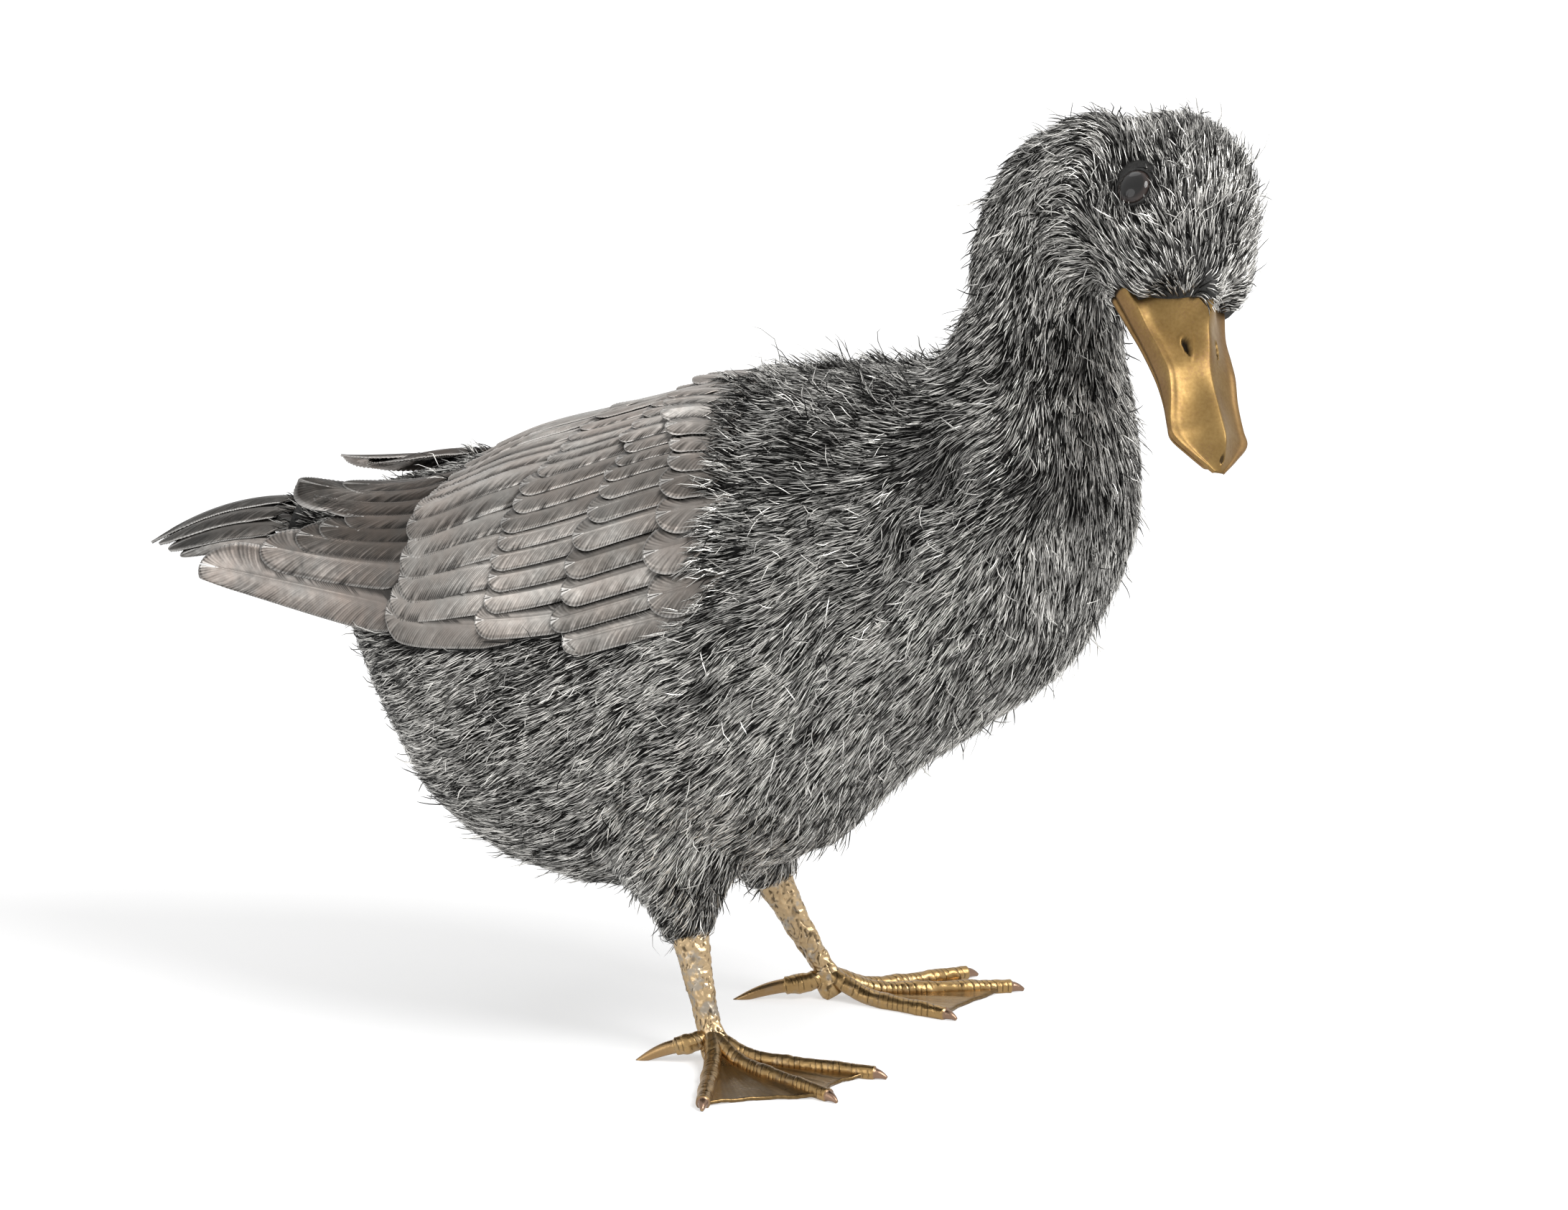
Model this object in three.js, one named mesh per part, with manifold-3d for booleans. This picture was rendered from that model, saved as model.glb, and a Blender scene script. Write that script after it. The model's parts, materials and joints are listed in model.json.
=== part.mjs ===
// Silver duck ornament: a hollow silver duck that stands on two gilt webbed feet and looks down to its right.
// X points to the breast, Y to the duck's left and Z up. Lengths are millimetres, angles are degrees.
import * as THREE from "three";
import { mergeVertices } from "three/addons/utils/BufferGeometryUtils.js";
import Module from "manifold-3d";

const wasm = await Module();
wasm.setup();

// Walls and clearances
const seatGap = 0.3; // solder or paper-thin play between two pieces that seat on each other
const bodyWall = 2.2;
const neckWall = 2;
const headWall = 2;
const plateThickness = 1; // the panel under each wing's feathers
const featherThickness = 0.9;
const featherLift = 0.9; // how far a covert's lower edge stands over the next one's upper edge

// Stance: the shanks run from the ankles up to the knees, and the body is built up from knee height
const kneeHeight = 38;
const ankleHeight = 4;
const legs = {
  // each ankle's and knee's place on the plan
  right: { ankle: [0, -43], knee: [-12, -34.7] },
  left: { ankle: [8.5, 38], knee: [-11.5, 34.7] },
};

// Body: stations from the rump to the neck ring. Each has its belly point and back point on the middle
// plane, as [x, height above the knees], and its half width.
const bodyStations = [
  { belly: [-150, 102], back: [-152, 119], half: 10 },
  { belly: [-136, 90], back: [-141, 123], half: 22 },
  { belly: [-119, 57], back: [-124, 130], half: 37.5 },
  { belly: [-100, 29], back: [-104, 139], half: 50 },
  { belly: [-74, 14], back: [-78, 155], half: 60.5 },
  { belly: [-48, 9.5], back: [-50, 167], half: 65 },
  { belly: [-9, 17], back: [-22, 175], half: 66.5 },
  { belly: [22, 28], back: [8, 179], half: 65 },
  { belly: [45, 50], back: [30, 181], half: 61 },
  { belly: [71, 69], back: [45, 181.5], half: 56 },
  { belly: [96.5, 89], back: [53, 182.5], half: 50 },
  { belly: [110.5, 109], back: [59, 185], half: 44.5 },
  { belly: [119.5, 133], back: [63, 189], half: 39 },
  { belly: [121.5, 151], back: [66, 193], half: 33.5 },
  { belly: [120.5, 171], back: [68.5, 198.5], half: 28.5 },
  { belly: [117.5, 190], back: [71, 205], half: 24 },
];
const bodyWaist = 0.47; // where the widest line runs, from belly to back
const bodySquareness = 2.15; // 2 is a plain ellipse
const bodySteps = 21;
const bodySides = 11; // around one half shell

// The coat's main locks on the body: raised points between the shell's steps, swept to the rear
const lockHeight = 3;
const lockSweep = 0.45; // how far a lock's tip leans back, over the way to the point behind it
const lockMargin = 14; // smooth shell round each thigh
const lockFreeStations = 6.95; // no locks under the wings: up to this station
const lockFreeAngles = [8, 98]; // and between these angles round from the back

// Neck: its centre line from the middle of the neck ring to the head's middle, and its radius at each point
const neckLine = [
  { at: [0.8, 0, 10], radius: 22.8 },
  { at: [1.2, 0, 19], radius: 23.2 },
  { at: [4.5, -0.5, 32.5], radius: 24.2 },
  { at: [12.5, -2.5, 45], radius: 25.2 },
  { at: [26, -6, 50], radius: 25 },
  { at: [34.5, -3.5, 47], radius: 16 },
  { at: [45, -8.8, 41.4], radius: 8 },
];
const neckSteps = 9;
const neckSides = 18;

// Head: its own axes run forward along the bill, to its left, and up through the crown
const headYaw = 49; // turned to the duck's right
const headPitch = 36.7; // bill down
const headRoll = 27;
const headStations = [
  { x: -36, top: 4, bottom: -4, half: 4 },
  { x: -33, top: 16, bottom: -13, half: 13 },
  { x: -24, top: 26, bottom: -22, half: 21 },
  { x: -9, top: 30, bottom: -26, half: 24.5 },
  { x: 5, top: 27, bottom: -25, half: 24.5 },
  { x: 15, top: 21.5, bottom: -22, half: 22 },
  { x: 22, top: 17.5, bottom: -19.5, half: 20 },
  { x: 27, top: 14.5, bottom: -17, half: 18.5 },
];
const headSquareness = 2.1;
const headSteps = 12;
const headSides = 18;
const headVentRadius = 9; // the way from the head into the neck

// Bill: stations ahead of the head's middle, in axes rolled back from the head's. A keel stands over two
// hollow flanks, which run down to a ridge on each side. The upper half lies on the lower one.
const billRoll = -9;
const billAside = -2.2; // the bill's middle plane, off the head's
const billStations = [
  // heights of the keel, the side ridges, the parting of the halves and the underside
  { x: 27, keel: 12.2, ridge: -6.3, parting: -11.3, under: -16.5, half: 17.8 },
  { x: 33, keel: 11.6, ridge: -6.9, parting: -11.8, under: -16.4, half: 16.4 },
  { x: 37, keel: 9.2, ridge: -7.1, parting: -11.9, under: -16.2, half: 15.5 },
  { x: 41, keel: 4.4, ridge: -7.1, parting: -12, under: -16, half: 14.8 },
  { x: 47.5, keel: 0.8, ridge: -6.8, parting: -12.2, under: -15.8, half: 13.9 },
  { x: 54, keel: -2.2, ridge: -6.8, parting: -12.5, under: -15.8, half: 13.3 },
  { x: 62, keel: -4.5, ridge: -9.8, parting: -13.2, under: -16.2, half: 13.3 },
  { x: 70, keel: -5.4, ridge: -12.6, parting: -13.9, under: -16.6, half: 14.3 },
  { x: 74.5, keel: -5.9, ridge: -13.3, parting: -14.4, under: -16.8, half: 14.5 },
  { x: 80.5, keel: -7.4, ridge: -13.9, parting: -14.8, under: -17, half: 9.2 },
  { x: 87, keel: -14, ridge: -14.6, parting: -15.2, under: -17.1, half: 2.2 },
];
const flankShares = [0, 0.14, 0.4, 0.7, 0.94]; // from the keel out to a side ridge, over the half width
const flankPower = 1.35; // over 1, the flanks are hollow
const lowerBillSides = 18;
const lowerBillInset = 1.2; // the lower bill is this much narrower on each side
const lowerBillShortfall = 3; // and this much shorter
const nostril = { x: 46.6, side: 5.5, long: 3.4, wide: 1.1, deep: 2 };

// Eyes: a glass ball in a socket tube that is let into the head
const eyeForward = -4.5;
const eyeAbove = 11;
const eyeRadius = 5.6;
const eyeStandOut = 1.4; // the ball's front beyond the socket's rim
const eyeDepth = 5;
const socketWall = 1;
const socketDepth = 6.5;
const socketLip = 2; // the shelf behind the ball

// Wings: a panel on the body's flank, four rows of coverts on it, and the primaries behind it. Places
// along a wing run from 0 at its front edge to 1 at the last row's tips, and across it from 0 to 1 down.
const wingFrontTop = 6.25; // in body stations
const wingFrontBottom = 6.75;
const wingRearTop = 2.9;
const wingRearBottom = 2.85;
const wingTopAngle = [15, 25]; // around the body from the back, at the front and at the rear
const wingBottomAngle = [81, 82];
const wingPlateEnd = 0.87;
const covertRows = [
  { front: -0.02, tips: 0.15, count: 8 },
  { front: 0.03, tips: 0.36, count: 12 },
  { front: 0.22, tips: 0.66, count: 11 },
  { front: 0.5, tips: 1, count: 9 },
];
const covertStep = 0.18; // the longest flat stretch in a row, along the wing
const scallopDepth = 0.07; // how far the notches between the coverts' tips reach back, along the wing
const primaryRoot = wingPlateEnd + 0.01;
const primaryEnds = [
  // points behind the wing, from top to bottom, that the primaries run towards
  [-172, 16, 140],
  [-178, 26, 128],
  [-184, 34, 115],
  [-188, 38, 102.5],
];
const primaryThickness = 0.7;
const primaryFeathers = [
  // place across the wing, share of the way to the ends, width
  { across: 0.03, reach: 0.66, width: 12 },
  { across: 0.16, reach: 0.78, width: 12.5 },
  { across: 0.28, reach: 0.72, width: 12.5 },
  { across: 0.4, reach: 0.5, width: 12.5 },
  { across: 0.52, reach: 0.6, width: 13 },
  { across: 0.65, reach: 0.66, width: 13.5 },
  { across: 0.78, reach: 0.75, width: 14 },
  { across: 0.92, reach: 0.94, width: 15 },
];

// Tail: a carrier behind the rump, and feathers set round an arch on it
const tailBaseLength = 7;
const tailArchRadius = 17; // of the arch that the feathers' roots lie on
const tailArchHeight = 121; // its crown above the knees
const tailFeathers = 7; // the middle one lies on top
const tailFan = 130; // degrees of the arch from the first feather to the last
const tailLength = 54; // of the middle feather
const tailSideReach = 0.7; // the outer feathers' length over the middle one's
const tailDroop = 20; // how far the middle feather's tip hangs below its root
const tailFlattening = 0.45; // of the arch at the tips
const tailSpread = 1.25; // width across the tips, over the roots'
const tailWidth = 12;

// Legs: everything from the knee up follows the shank's axis
const shankStations = [
  // share of the way down from the knee, radius across and fore-and-aft
  { down: 0, across: 5, along: 5.6 },
  { down: 0.16, across: 4.1, along: 4.9 },
  { down: 0.5, across: 3.4, along: 4.1 },
  { down: 0.8, across: 3.5, along: 4.2 },
  { down: 1, across: 4.3, along: 4.6 },
];
const thighProfile = [
  // height above the knee along the leg, radius
  { up: 0, radius: 6.4 },
  { up: 5, radius: 8 },
  { up: 12, radius: 11.5 },
  { up: 20, radius: 17 },
  { up: 30, radius: 22 },
  { up: 42, radius: 23 },
];
const thighLean = 0.4; // 0 has the thigh follow the shank, 1 has it upright
const studRadius = 2.5;
const studInShank = 12;
const boreClearance = 0.3;
const bridgeReach = 50; // from the knee to the top of the bridge's sleeves, along the leg
const sleeveRadius = 6.5;
const bridgeBar = { fore: 9, thick: 5 };
const washer = { radius: 6, thick: 1.2 };
const nut = { acrossFlats: 8, thick: 4 };
const studProud = 3; // above the nut

// Feet: toes and webs that stand on the floor. Toe angles run from straight ahead to the duck's left.
const hubRadius = 4.9;
const stubLength = hubRadius + 0.6; // from the ankle's middle up to the shank
const footToes = {
  right: [
    { angle: -72, length: 55 },
    { angle: -28, length: 60 },
    { angle: 2, length: 58 },
  ],
  left: [
    { angle: -12, length: 47 },
    { angle: 29, length: 61.5 },
    { angle: 50, length: 52.5 },
  ],
};
const toeRadius = 3; // at the hub
const toeTipRadius = 1.7;
const toeKnuckles = [0.4, 0.7]; // shares of the toe's length
const knuckleBulge = 0.45;
const toeSink = 0.7; // how deep the soles are cut flat
const webThickness = 1.3;
const webBack = 0.1; // the web starts at this share of the toes
const webReach = 0.9; // and ends at this share
const webHollow = 0.13; // its front edge curves in by this share
const hindToes = {
  right: { angle: -163, length: 25 },
  left: { angle: -155, length: 32.5 },
};
const hindToeRadius = 2.6;

// Finishes
const finishes = {
  furSilver: new THREE.MeshStandardMaterial({ color: 0x6d6a66, roughness: 0.5, metalness: 1 }),
  featherSilver: new THREE.MeshStandardMaterial({ color: 0xa09b95, roughness: 0.38, metalness: 1 }),
  billGilt: new THREE.MeshStandardMaterial({ color: 0xb8924f, roughness: 0.3, metalness: 1 }),
  legGilt: new THREE.MeshStandardMaterial({ color: 0x8f7440, roughness: 0.42, metalness: 1 }),
  eyeGlass: new THREE.MeshStandardMaterial({ color: 0x0c0b0b, roughness: 0.06, metalness: 0 }),
  fixingSteel: new THREE.MeshStandardMaterial({ color: 0x8d9094, roughness: 0.4, metalness: 1 }),
};

const vec = (x, y, z) => new THREE.Vector3(x, y, z);
const lerp = THREE.MathUtils.lerp;
const radians = THREE.MathUtils.degToRad;
const range = (count) => Array.from({ length: count }, (_, i) => i);

// Shape tools

// A closed geometry from points and triangles, turned so that its faces point out.
function closedGeometry(points, triangles) {
  let volume = 0;
  for (const [a, b, c] of triangles) {
    volume += points[a].dot(points[b].clone().cross(points[c]));
  }
  const faces = volume < 0 ? triangles.map(([a, b, c]) => [a, c, b]) : triangles;
  const geometry = new THREE.BufferGeometry();
  const numbers = points.flatMap((p) => [p.x, p.y, p.z]);
  geometry.setAttribute("position", new THREE.Float32BufferAttribute(numbers, 3));
  geometry.setIndex(faces.flat());
  geometry.computeVertexNormals();
  return geometry;
}

// A sheet with thickness: two grids of points, joined round their rims. With around, the columns close.
function thickSheet(outer, inner, around = false) {
  const rows = outer.length;
  const columns = outer[0].length;
  const points = [...outer.flat(), ...inner.flat()];
  const triangles = [];
  const quad = (a, b, c, d) => triangles.push([a, b, c], [a, c, d]);
  const out = (i, j) => i * columns + (j % columns);
  const inn = (i, j) => rows * columns + out(i, j);
  const spans = around ? columns : columns - 1;
  for (let j = 0; j < spans; j += 1) {
    for (let i = 0; i < rows - 1; i += 1) {
      quad(out(i, j), out(i + 1, j), out(i + 1, j + 1), out(i, j + 1));
      quad(inn(i, j), inn(i, j + 1), inn(i + 1, j + 1), inn(i + 1, j));
    }
    quad(out(0, j), out(0, j + 1), inn(0, j + 1), inn(0, j));
    quad(out(rows - 1, j + 1), out(rows - 1, j), inn(rows - 1, j), inn(rows - 1, j + 1));
  }
  if (!around) {
    const last = columns - 1;
    for (let i = 0; i < rows - 1; i += 1) {
      quad(out(i + 1, 0), out(i, 0), inn(i, 0), inn(i + 1, 0));
      quad(out(i, last), out(i + 1, last), inn(i + 1, last), inn(i, last));
    }
  }
  return closedGeometry(points, triangles);
}

// A solid through a row of rings, closed by a fan at each end.
function loft(rings) {
  const sides = rings[0].length;
  const middle = (ring) => ring.reduce((sum, p) => sum.add(p), vec(0, 0, 0)).divideScalar(sides);
  const points = [...rings.flat(), middle(rings[0]), middle(rings.at(-1))];
  const start = points.length - 2;
  const last = (rings.length - 1) * sides;
  const triangles = [];
  for (let j = 0; j < sides; j += 1) {
    const next = (j + 1) % sides;
    for (let i = 0; i < rings.length - 1; i += 1) {
      const a = i * sides;
      triangles.push([a + j, a + next, a + sides + next], [a + j, a + sides + next, a + sides + j]);
    }
    triangles.push([start, next, j], [start + 1, last + j, last + next]);
  }
  return closedGeometry(points, triangles);
}

// The unit superellipse at an angle from its top, as [up, side].
function superellipse(angle, squareness) {
  const power = 2 / squareness;
  const up = Math.cos(angle);
  const side = Math.sin(angle);
  const clean = (value) => (Math.abs(value) < 1e-9 ? 0 : Math.sign(value) * Math.abs(value) ** power);
  return [clean(up), clean(side)];
}

// A smooth reader of a list of values at evenly numbered stations.
function smoothValue(values) {
  const curve = new THREE.CatmullRomCurve3(values.map((v) => vec(v, 0, 0)), false, "catmullrom", 0.5);
  return (share) => curve.getPoint(THREE.MathUtils.clamp(share, 0, 1)).x;
}

function toSolid(geometry) {
  const bare = geometry.clone();
  bare.deleteAttribute("normal");
  bare.deleteAttribute("uv");
  const merged = mergeVertices(bare, 1e-4);
  const triVerts = new Uint32Array(merged.index.array);
  return new wasm.Manifold(new wasm.Mesh({ numProp: 3, vertProperties: merged.attributes.position.array, triVerts }));
}

function toGeometry(solid) {
  const mesh = solid.getMesh();
  const geometry = new THREE.BufferGeometry();
  geometry.setAttribute("position", new THREE.BufferAttribute(mesh.vertProperties, mesh.numProp));
  geometry.setIndex(new THREE.BufferAttribute(mesh.triVerts, 1));
  geometry.computeVertexNormals();
  return geometry;
}

// One geometry less some others.
function cut(geometry, ...tools) {
  return toGeometry(tools.reduce((solid, tool) => solid.subtract(toSolid(tool)), toSolid(geometry)));
}

// The largest piece of what is left of a geometry.
function largest(geometry) {
  const [first, ...others] = toSolid(geometry).decompose();
  return toGeometry(others.reduce((best, piece) => (piece.volume() > best.volume() ? piece : best), first));
}

function join(first, ...rest) {
  return toGeometry(rest.reduce((solid, other) => solid.add(toSolid(other)), toSolid(first)));
}

// A cylinder that stands on a point and runs along a direction.
function rodFrom(base, direction, radius, length, sides = 16) {
  const turn = new THREE.Quaternion().setFromUnitVectors(vec(0, 1, 0), direction.clone().normalize());
  const rod = new THREE.CylinderGeometry(radius, radius, length, sides);
  rod.translate(0, length / 2, 0).applyQuaternion(turn).translate(base.x, base.y, base.z);
  return rod;
}

function mesh(name, geometry, material) {
  const piece = new THREE.Mesh(geometry, material);
  piece.name = name;
  return piece;
}

// Each leg's own line, from its ankle to its knee and on
const legAxis = ({ ankle, knee }) => vec(...knee, kneeHeight).sub(vec(...ankle, ankleHeight));
const kneeAt = ({ knee }) => vec(...knee, 0);

// Body: its surface is read by station share, angle round from the back, and distance outside the shell.
const lastStation = bodyStations.length - 1;
const bellyLine = new THREE.CatmullRomCurve3(bodyStations.map(({ belly }) => vec(belly[0], 0, belly[1])));
const backLine = new THREE.CatmullRomCurve3(bodyStations.map(({ back }) => vec(back[0], 0, back[1])));
const bodyHalf = smoothValue(bodyStations.map(({ half }) => half));

function bodyPoint(share, angle, outside, side) {
  const belly = bellyLine.getPoint(share);
  const back = backLine.getPoint(share);
  const waist = belly.clone().lerp(back, bodyWaist);
  const [up, out] = superellipse(angle, bodySquareness);
  const arm = (up > 0 ? back : belly).clone().sub(waist);
  const point = waist.addScaledVector(arm, Math.abs(up) * (1 + outside / arm.length()));
  point.y = side * out * (bodyHalf(share) + outside);
  return point;
}

function bodyRing(share, outside, sides) {
  return range(sides).map((j) => bodyPoint(share, (2 * Math.PI * j) / sides, outside, 1));
}

// The body's whole volume, for cutting what stands against it.
function bodyCore(outside) {
  return loft(range(bodySteps + 1).map((i) => bodyRing(i / bodySteps, outside, 2 * bodySides)));
}

// A sheet whose outer grid has twice the steps of its inner one, joined round their rims.
function doubledSheet(outer, inner) {
  const [rows, columns] = [inner.length, inner[0].length];
  const [outerRows, outerColumns] = [outer.length, outer[0].length];
  const points = [...outer.flat(), ...inner.flat()];
  const out = (i, j) => i * outerColumns + j;
  const inn = (i, j) => outerRows * outerColumns + i * columns + j;
  const triangles = [];
  for (let i = 0; i < outerRows - 1; i += 1) {
    for (let j = 0; j < outerColumns - 1; j += 1) {
      const [a, b, c, d] = [out(i, j), out(i + 1, j), out(i + 1, j + 1), out(i, j + 1)];
      // the fold never joins two raised points, so each one stands by itself
      triangles.push(...((i + j) % 2 === 0 ? [[a, b, c], [a, c, d]] : [[a, b, d], [b, c, d]]));
    }
  }
  for (let i = 0; i < rows - 1; i += 1) {
    for (let j = 0; j < columns - 1; j += 1) {
      const [a, b, c, d] = [inn(i, j), inn(i + 1, j), inn(i + 1, j + 1), inn(i, j + 1)];
      triangles.push([a, c, b], [a, d, c]);
    }
  }
  const stitch = (outerAt, innerAt, count, turned) => {
    for (let k = 0; k < count - 1; k += 1) {
      const [a, b, c] = [outerAt(2 * k), outerAt(2 * k + 1), outerAt(2 * k + 2)];
      const [d, e] = [innerAt(k), innerAt(k + 1)];
      for (const [p, q, r] of [[a, b, d], [b, e, d], [b, c, e]]) triangles.push(turned ? [p, r, q] : [p, q, r]);
    }
  };
  stitch((k) => out(0, k), (k) => inn(0, k), columns, false);
  stitch((k) => out(outerRows - 1, k), (k) => inn(rows - 1, k), columns, true);
  stitch((k) => out(k, 0), (k) => inn(k, 0), rows, true);
  stitch((k) => out(k, outerColumns - 1), (k) => inn(k, columns - 1), rows, false);
  return closedGeometry(points, triangles);
}

// Where the body carries locks: not at its ends, under the wings or round the thighs.
function carriesLock(i, j, point) {
  const station = (i / 2 / bodySteps) * lastStation;
  const degrees = (180 * j) / 2 / bodySides;
  if (i < 2 || i > 2 * bodySteps - 2) return false;
  if (station < lockFreeStations && degrees > lockFreeAngles[0] && degrees < lockFreeAngles[1]) return false;
  return Object.values(legs).every((leg) => {
    const knee = kneeAt(leg);
    const axis = legAxis(leg).normalize();
    const up = point.clone().sub(knee).dot(axis);
    const aside = knee.addScaledVector(axis, up).distanceTo(point);
    return up > 2 * thighProfile.at(-1).up || aside > thighProfile.at(-1).radius + lockMargin;
  });
}

function bodyShell(side) {
  const grid = (outside) =>
    range(bodySteps + 1).map((i) =>
      range(bodySides + 1).map((j) => bodyPoint(i / bodySteps, (Math.PI * j) / bodySides, outside, side)),
    );
  // a point halfway between its neighbours in a grid
  const between = (coarse, i, j) => {
    const [low, high] = [coarse[Math.floor(i / 2)], coarse[Math.ceil(i / 2)]];
    const corners = [low, high].flatMap((row) => [row[Math.floor(j / 2)], row[Math.ceil(j / 2)]]);
    return corners.reduce((sum, p) => sum.add(p), vec(0, 0, 0)).divideScalar(4);
  };
  const [smooth, raised] = [grid(0), grid(lockHeight)];
  const coat = range(2 * bodySteps + 1).map((i) =>
    range(2 * bodySides + 1).map((j) => {
      const point = between(smooth, i, j);
      if ((i + j) % 2 === 0 || !carriesLock(i, j, point)) return point;
      return between(raised, i, j).lerp(between(raised, i - 1, j), lockSweep);
    }),
  );
  return doubledSheet(coat, grid(-bodyWall));
}

// Neck: a tube from the body's neck ring along its centre line
const neckRing = bodyRing(1, 0, neckSides);
const neckStart = neckRing.reduce((sum, p) => sum.add(p), vec(0, 0, 0)).divideScalar(neckSides);
const neckRingNormal = vec(0, 1, 0).cross(neckRing[0].clone().sub(neckStart)).normalize();
const neckPoints = neckLine.map(({ at }) => vec(...at).add(neckStart));
const neckCurve = new THREE.CatmullRomCurve3([neckStart, ...neckPoints]);
const neckRadius = smoothValue([bodyStations.at(-1).half, ...neckLine.map(({ radius }) => radius)]);

function neckRingAt(share, outside) {
  const centre = neckCurve.getPoint(share);
  const tangent = neckCurve.getTangent(share);
  const steady = Math.min(1, share * 3);
  tangent.lerp(neckRingNormal, 1 - steady).normalize();
  const back = vec(0, 1, 0).cross(tangent).negate().normalize();
  const left = tangent.clone().cross(back).negate();
  const radius = neckRadius(share) + outside;
  return range(neckSides).map((j) => {
    const angle = (2 * Math.PI * j) / neckSides;
    return centre
      .clone()
      .addScaledVector(back, radius * Math.cos(angle))
      .addScaledVector(left, radius * Math.sin(angle));
  });
}

function neckTube() {
  const grid = (outside) => {
    const first = bodyRing(1, outside, neckSides).map((p) => p.addScaledVector(neckRingNormal, seatGap));
    const rest = range(neckSteps).map((i) => neckRingAt((i + 1) / neckSteps, outside));
    return [first, ...rest];
  };
  return thickSheet(grid(0), grid(-neckWall), true);
}

// Head
const headTop = smoothValue(headStations.map(({ top }) => top));
const headBottom = smoothValue(headStations.map(({ bottom }) => bottom));
const headHalf = smoothValue(headStations.map(({ half }) => half));
const headAlong = smoothValue(headStations.map(({ x }) => x));
const headFace = headStations.at(-1).x;

function headPoint(share, angle, outside) {
  const top = headTop(share) + outside;
  const bottom = headBottom(share) - outside;
  const [up, left] = superellipse(angle, headSquareness);
  const middle = (top + bottom) / 2;
  const z = middle + (up * (top - bottom)) / 2;
  return vec(headAlong(share), left * (headHalf(share) + outside), z);
}

function headRings(outside) {
  const rings = range(headSteps + 1).map((i) => {
    const share = i / headSteps;
    return range(headSides).map((j) => headPoint(share, (2 * Math.PI * j) / headSides, outside));
  });
  // offsets along the head's axis at its two ends
  rings[0].forEach((p) => (p.x -= outside));
  rings.at(-1).forEach((p) => (p.x += outside));
  return rings;
}

function headAxes() {
  const [yaw, pitch, roll] = [headYaw, headPitch, headRoll].map(radians);
  const forward = vec(Math.cos(pitch) * Math.cos(yaw), -Math.cos(pitch) * Math.sin(yaw), -Math.sin(pitch));
  const levelRight = vec(-Math.sin(yaw), -Math.cos(yaw), 0);
  const levelUp = levelRight.clone().cross(forward);
  const right = levelRight.multiplyScalar(Math.cos(roll)).addScaledVector(levelUp, Math.sin(roll));
  const up = right.clone().cross(forward);
  return new THREE.Matrix4().makeBasis(forward, right.negate(), up);
}

const head = new THREE.Group();
head.position.copy(neckPoints.at(-1));
head.quaternion.setFromRotationMatrix(headAxes());
head.updateMatrixWorld(true);

// Eyes: each has its own axis, square to the head's surface
function eyeFrame(side) {
  const share = (eyeForward - headStations[0].x) / (headFace - headStations[0].x);
  let best = headPoint(share, 0, 0);
  for (let angle = 0; angle < Math.PI / 2; angle += 0.01) {
    const candidate = headPoint(share, angle, 0);
    if (Math.abs(candidate.z - eyeAbove) < Math.abs(best.z - eyeAbove)) best = candidate;
  }
  const middle = vec(best.x, 0, (headTop(share) + headBottom(share)) / 2);
  const outward = best.clone().sub(middle).normalize();
  best.y *= side;
  outward.y *= side;
  return { centre: best, outward };
}

function turned(profile, { centre, outward }, sides = 16) {
  const turn = new THREE.Quaternion().setFromUnitVectors(vec(0, 1, 0), outward);
  const points = profile.map(([radius, up]) => new THREE.Vector2(radius, up));
  return new THREE.LatheGeometry(points, sides).applyQuaternion(turn).translate(centre.x, centre.y, centre.z);
}

function eyeBall(frame) {
  const arc = range(5).map((i) => {
    const angle = (Math.PI / 2) * (1 - i / 4);
    return [eyeRadius * Math.sin(angle), eyeStandOut * Math.cos(angle)];
  });
  arc[4][0] = 0;
  return turned([[0, -eyeDepth], [eyeRadius, -eyeDepth], ...arc], frame);
}

function eyeSocket(frame) {
  const bore = eyeRadius + seatGap;
  const outer = bore + socketWall;
  const shelf = -eyeDepth - seatGap;
  const profile = [
    [outer, 0],
    [bore, 0],
    [bore, shelf],
    [bore - socketLip, shelf],
    [bore - socketLip, -socketDepth],
    [outer, -socketDepth],
    [outer, 0],
  ];
  return turned(profile, frame);
}

function headShell(frames) {
  const hollow = loft(headRings(-headWall));
  const shell = toSolid(loft(headRings(0))).subtract(toSolid(hollow));
  const holeRadius = eyeRadius + seatGap + socketWall + seatGap;
  const eyeHoles = frames.map(({ centre, outward }) =>
    rodFrom(centre.clone().addScaledVector(outward, -socketDepth - seatGap), outward, holeRadius, 2 * socketDepth, 16),
  );
  const toNeck = neckPoints.at(-3).clone().applyMatrix4(head.matrixWorld.clone().invert());
  const vent = rodFrom(vec(0, 0, 0), toNeck, headVentRadius, 2 * toNeck.length());
  return toGeometry([...eyeHoles, vent].reduce((solid, tool) => solid.subtract(toSolid(tool)), shell));
}

// Bill
const bill = new THREE.Group();
bill.rotation.x = radians(-billRoll);
bill.position.y = billAside;
head.add(bill);
const flankHeight = ({ keel, ridge }, share) => lerp(ridge, keel, Math.max(0, 1 - share / flankShares.at(-1)) ** flankPower);

function upperBillRing(station, i) {
  const { x, parting, half } = station;
  const flank = flankShares.map((share) => [share * half, flankHeight(station, share)]);
  const left = [...flank, [half, parting], [half / 2, parting]];
  const right = left.slice(1).reverse().map(([y, z]) => [-y, z]);
  return [...left, ...right].map(([y, z]) => vec(x + (i === 0 ? seatGap : 0), y, z));
}

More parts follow.
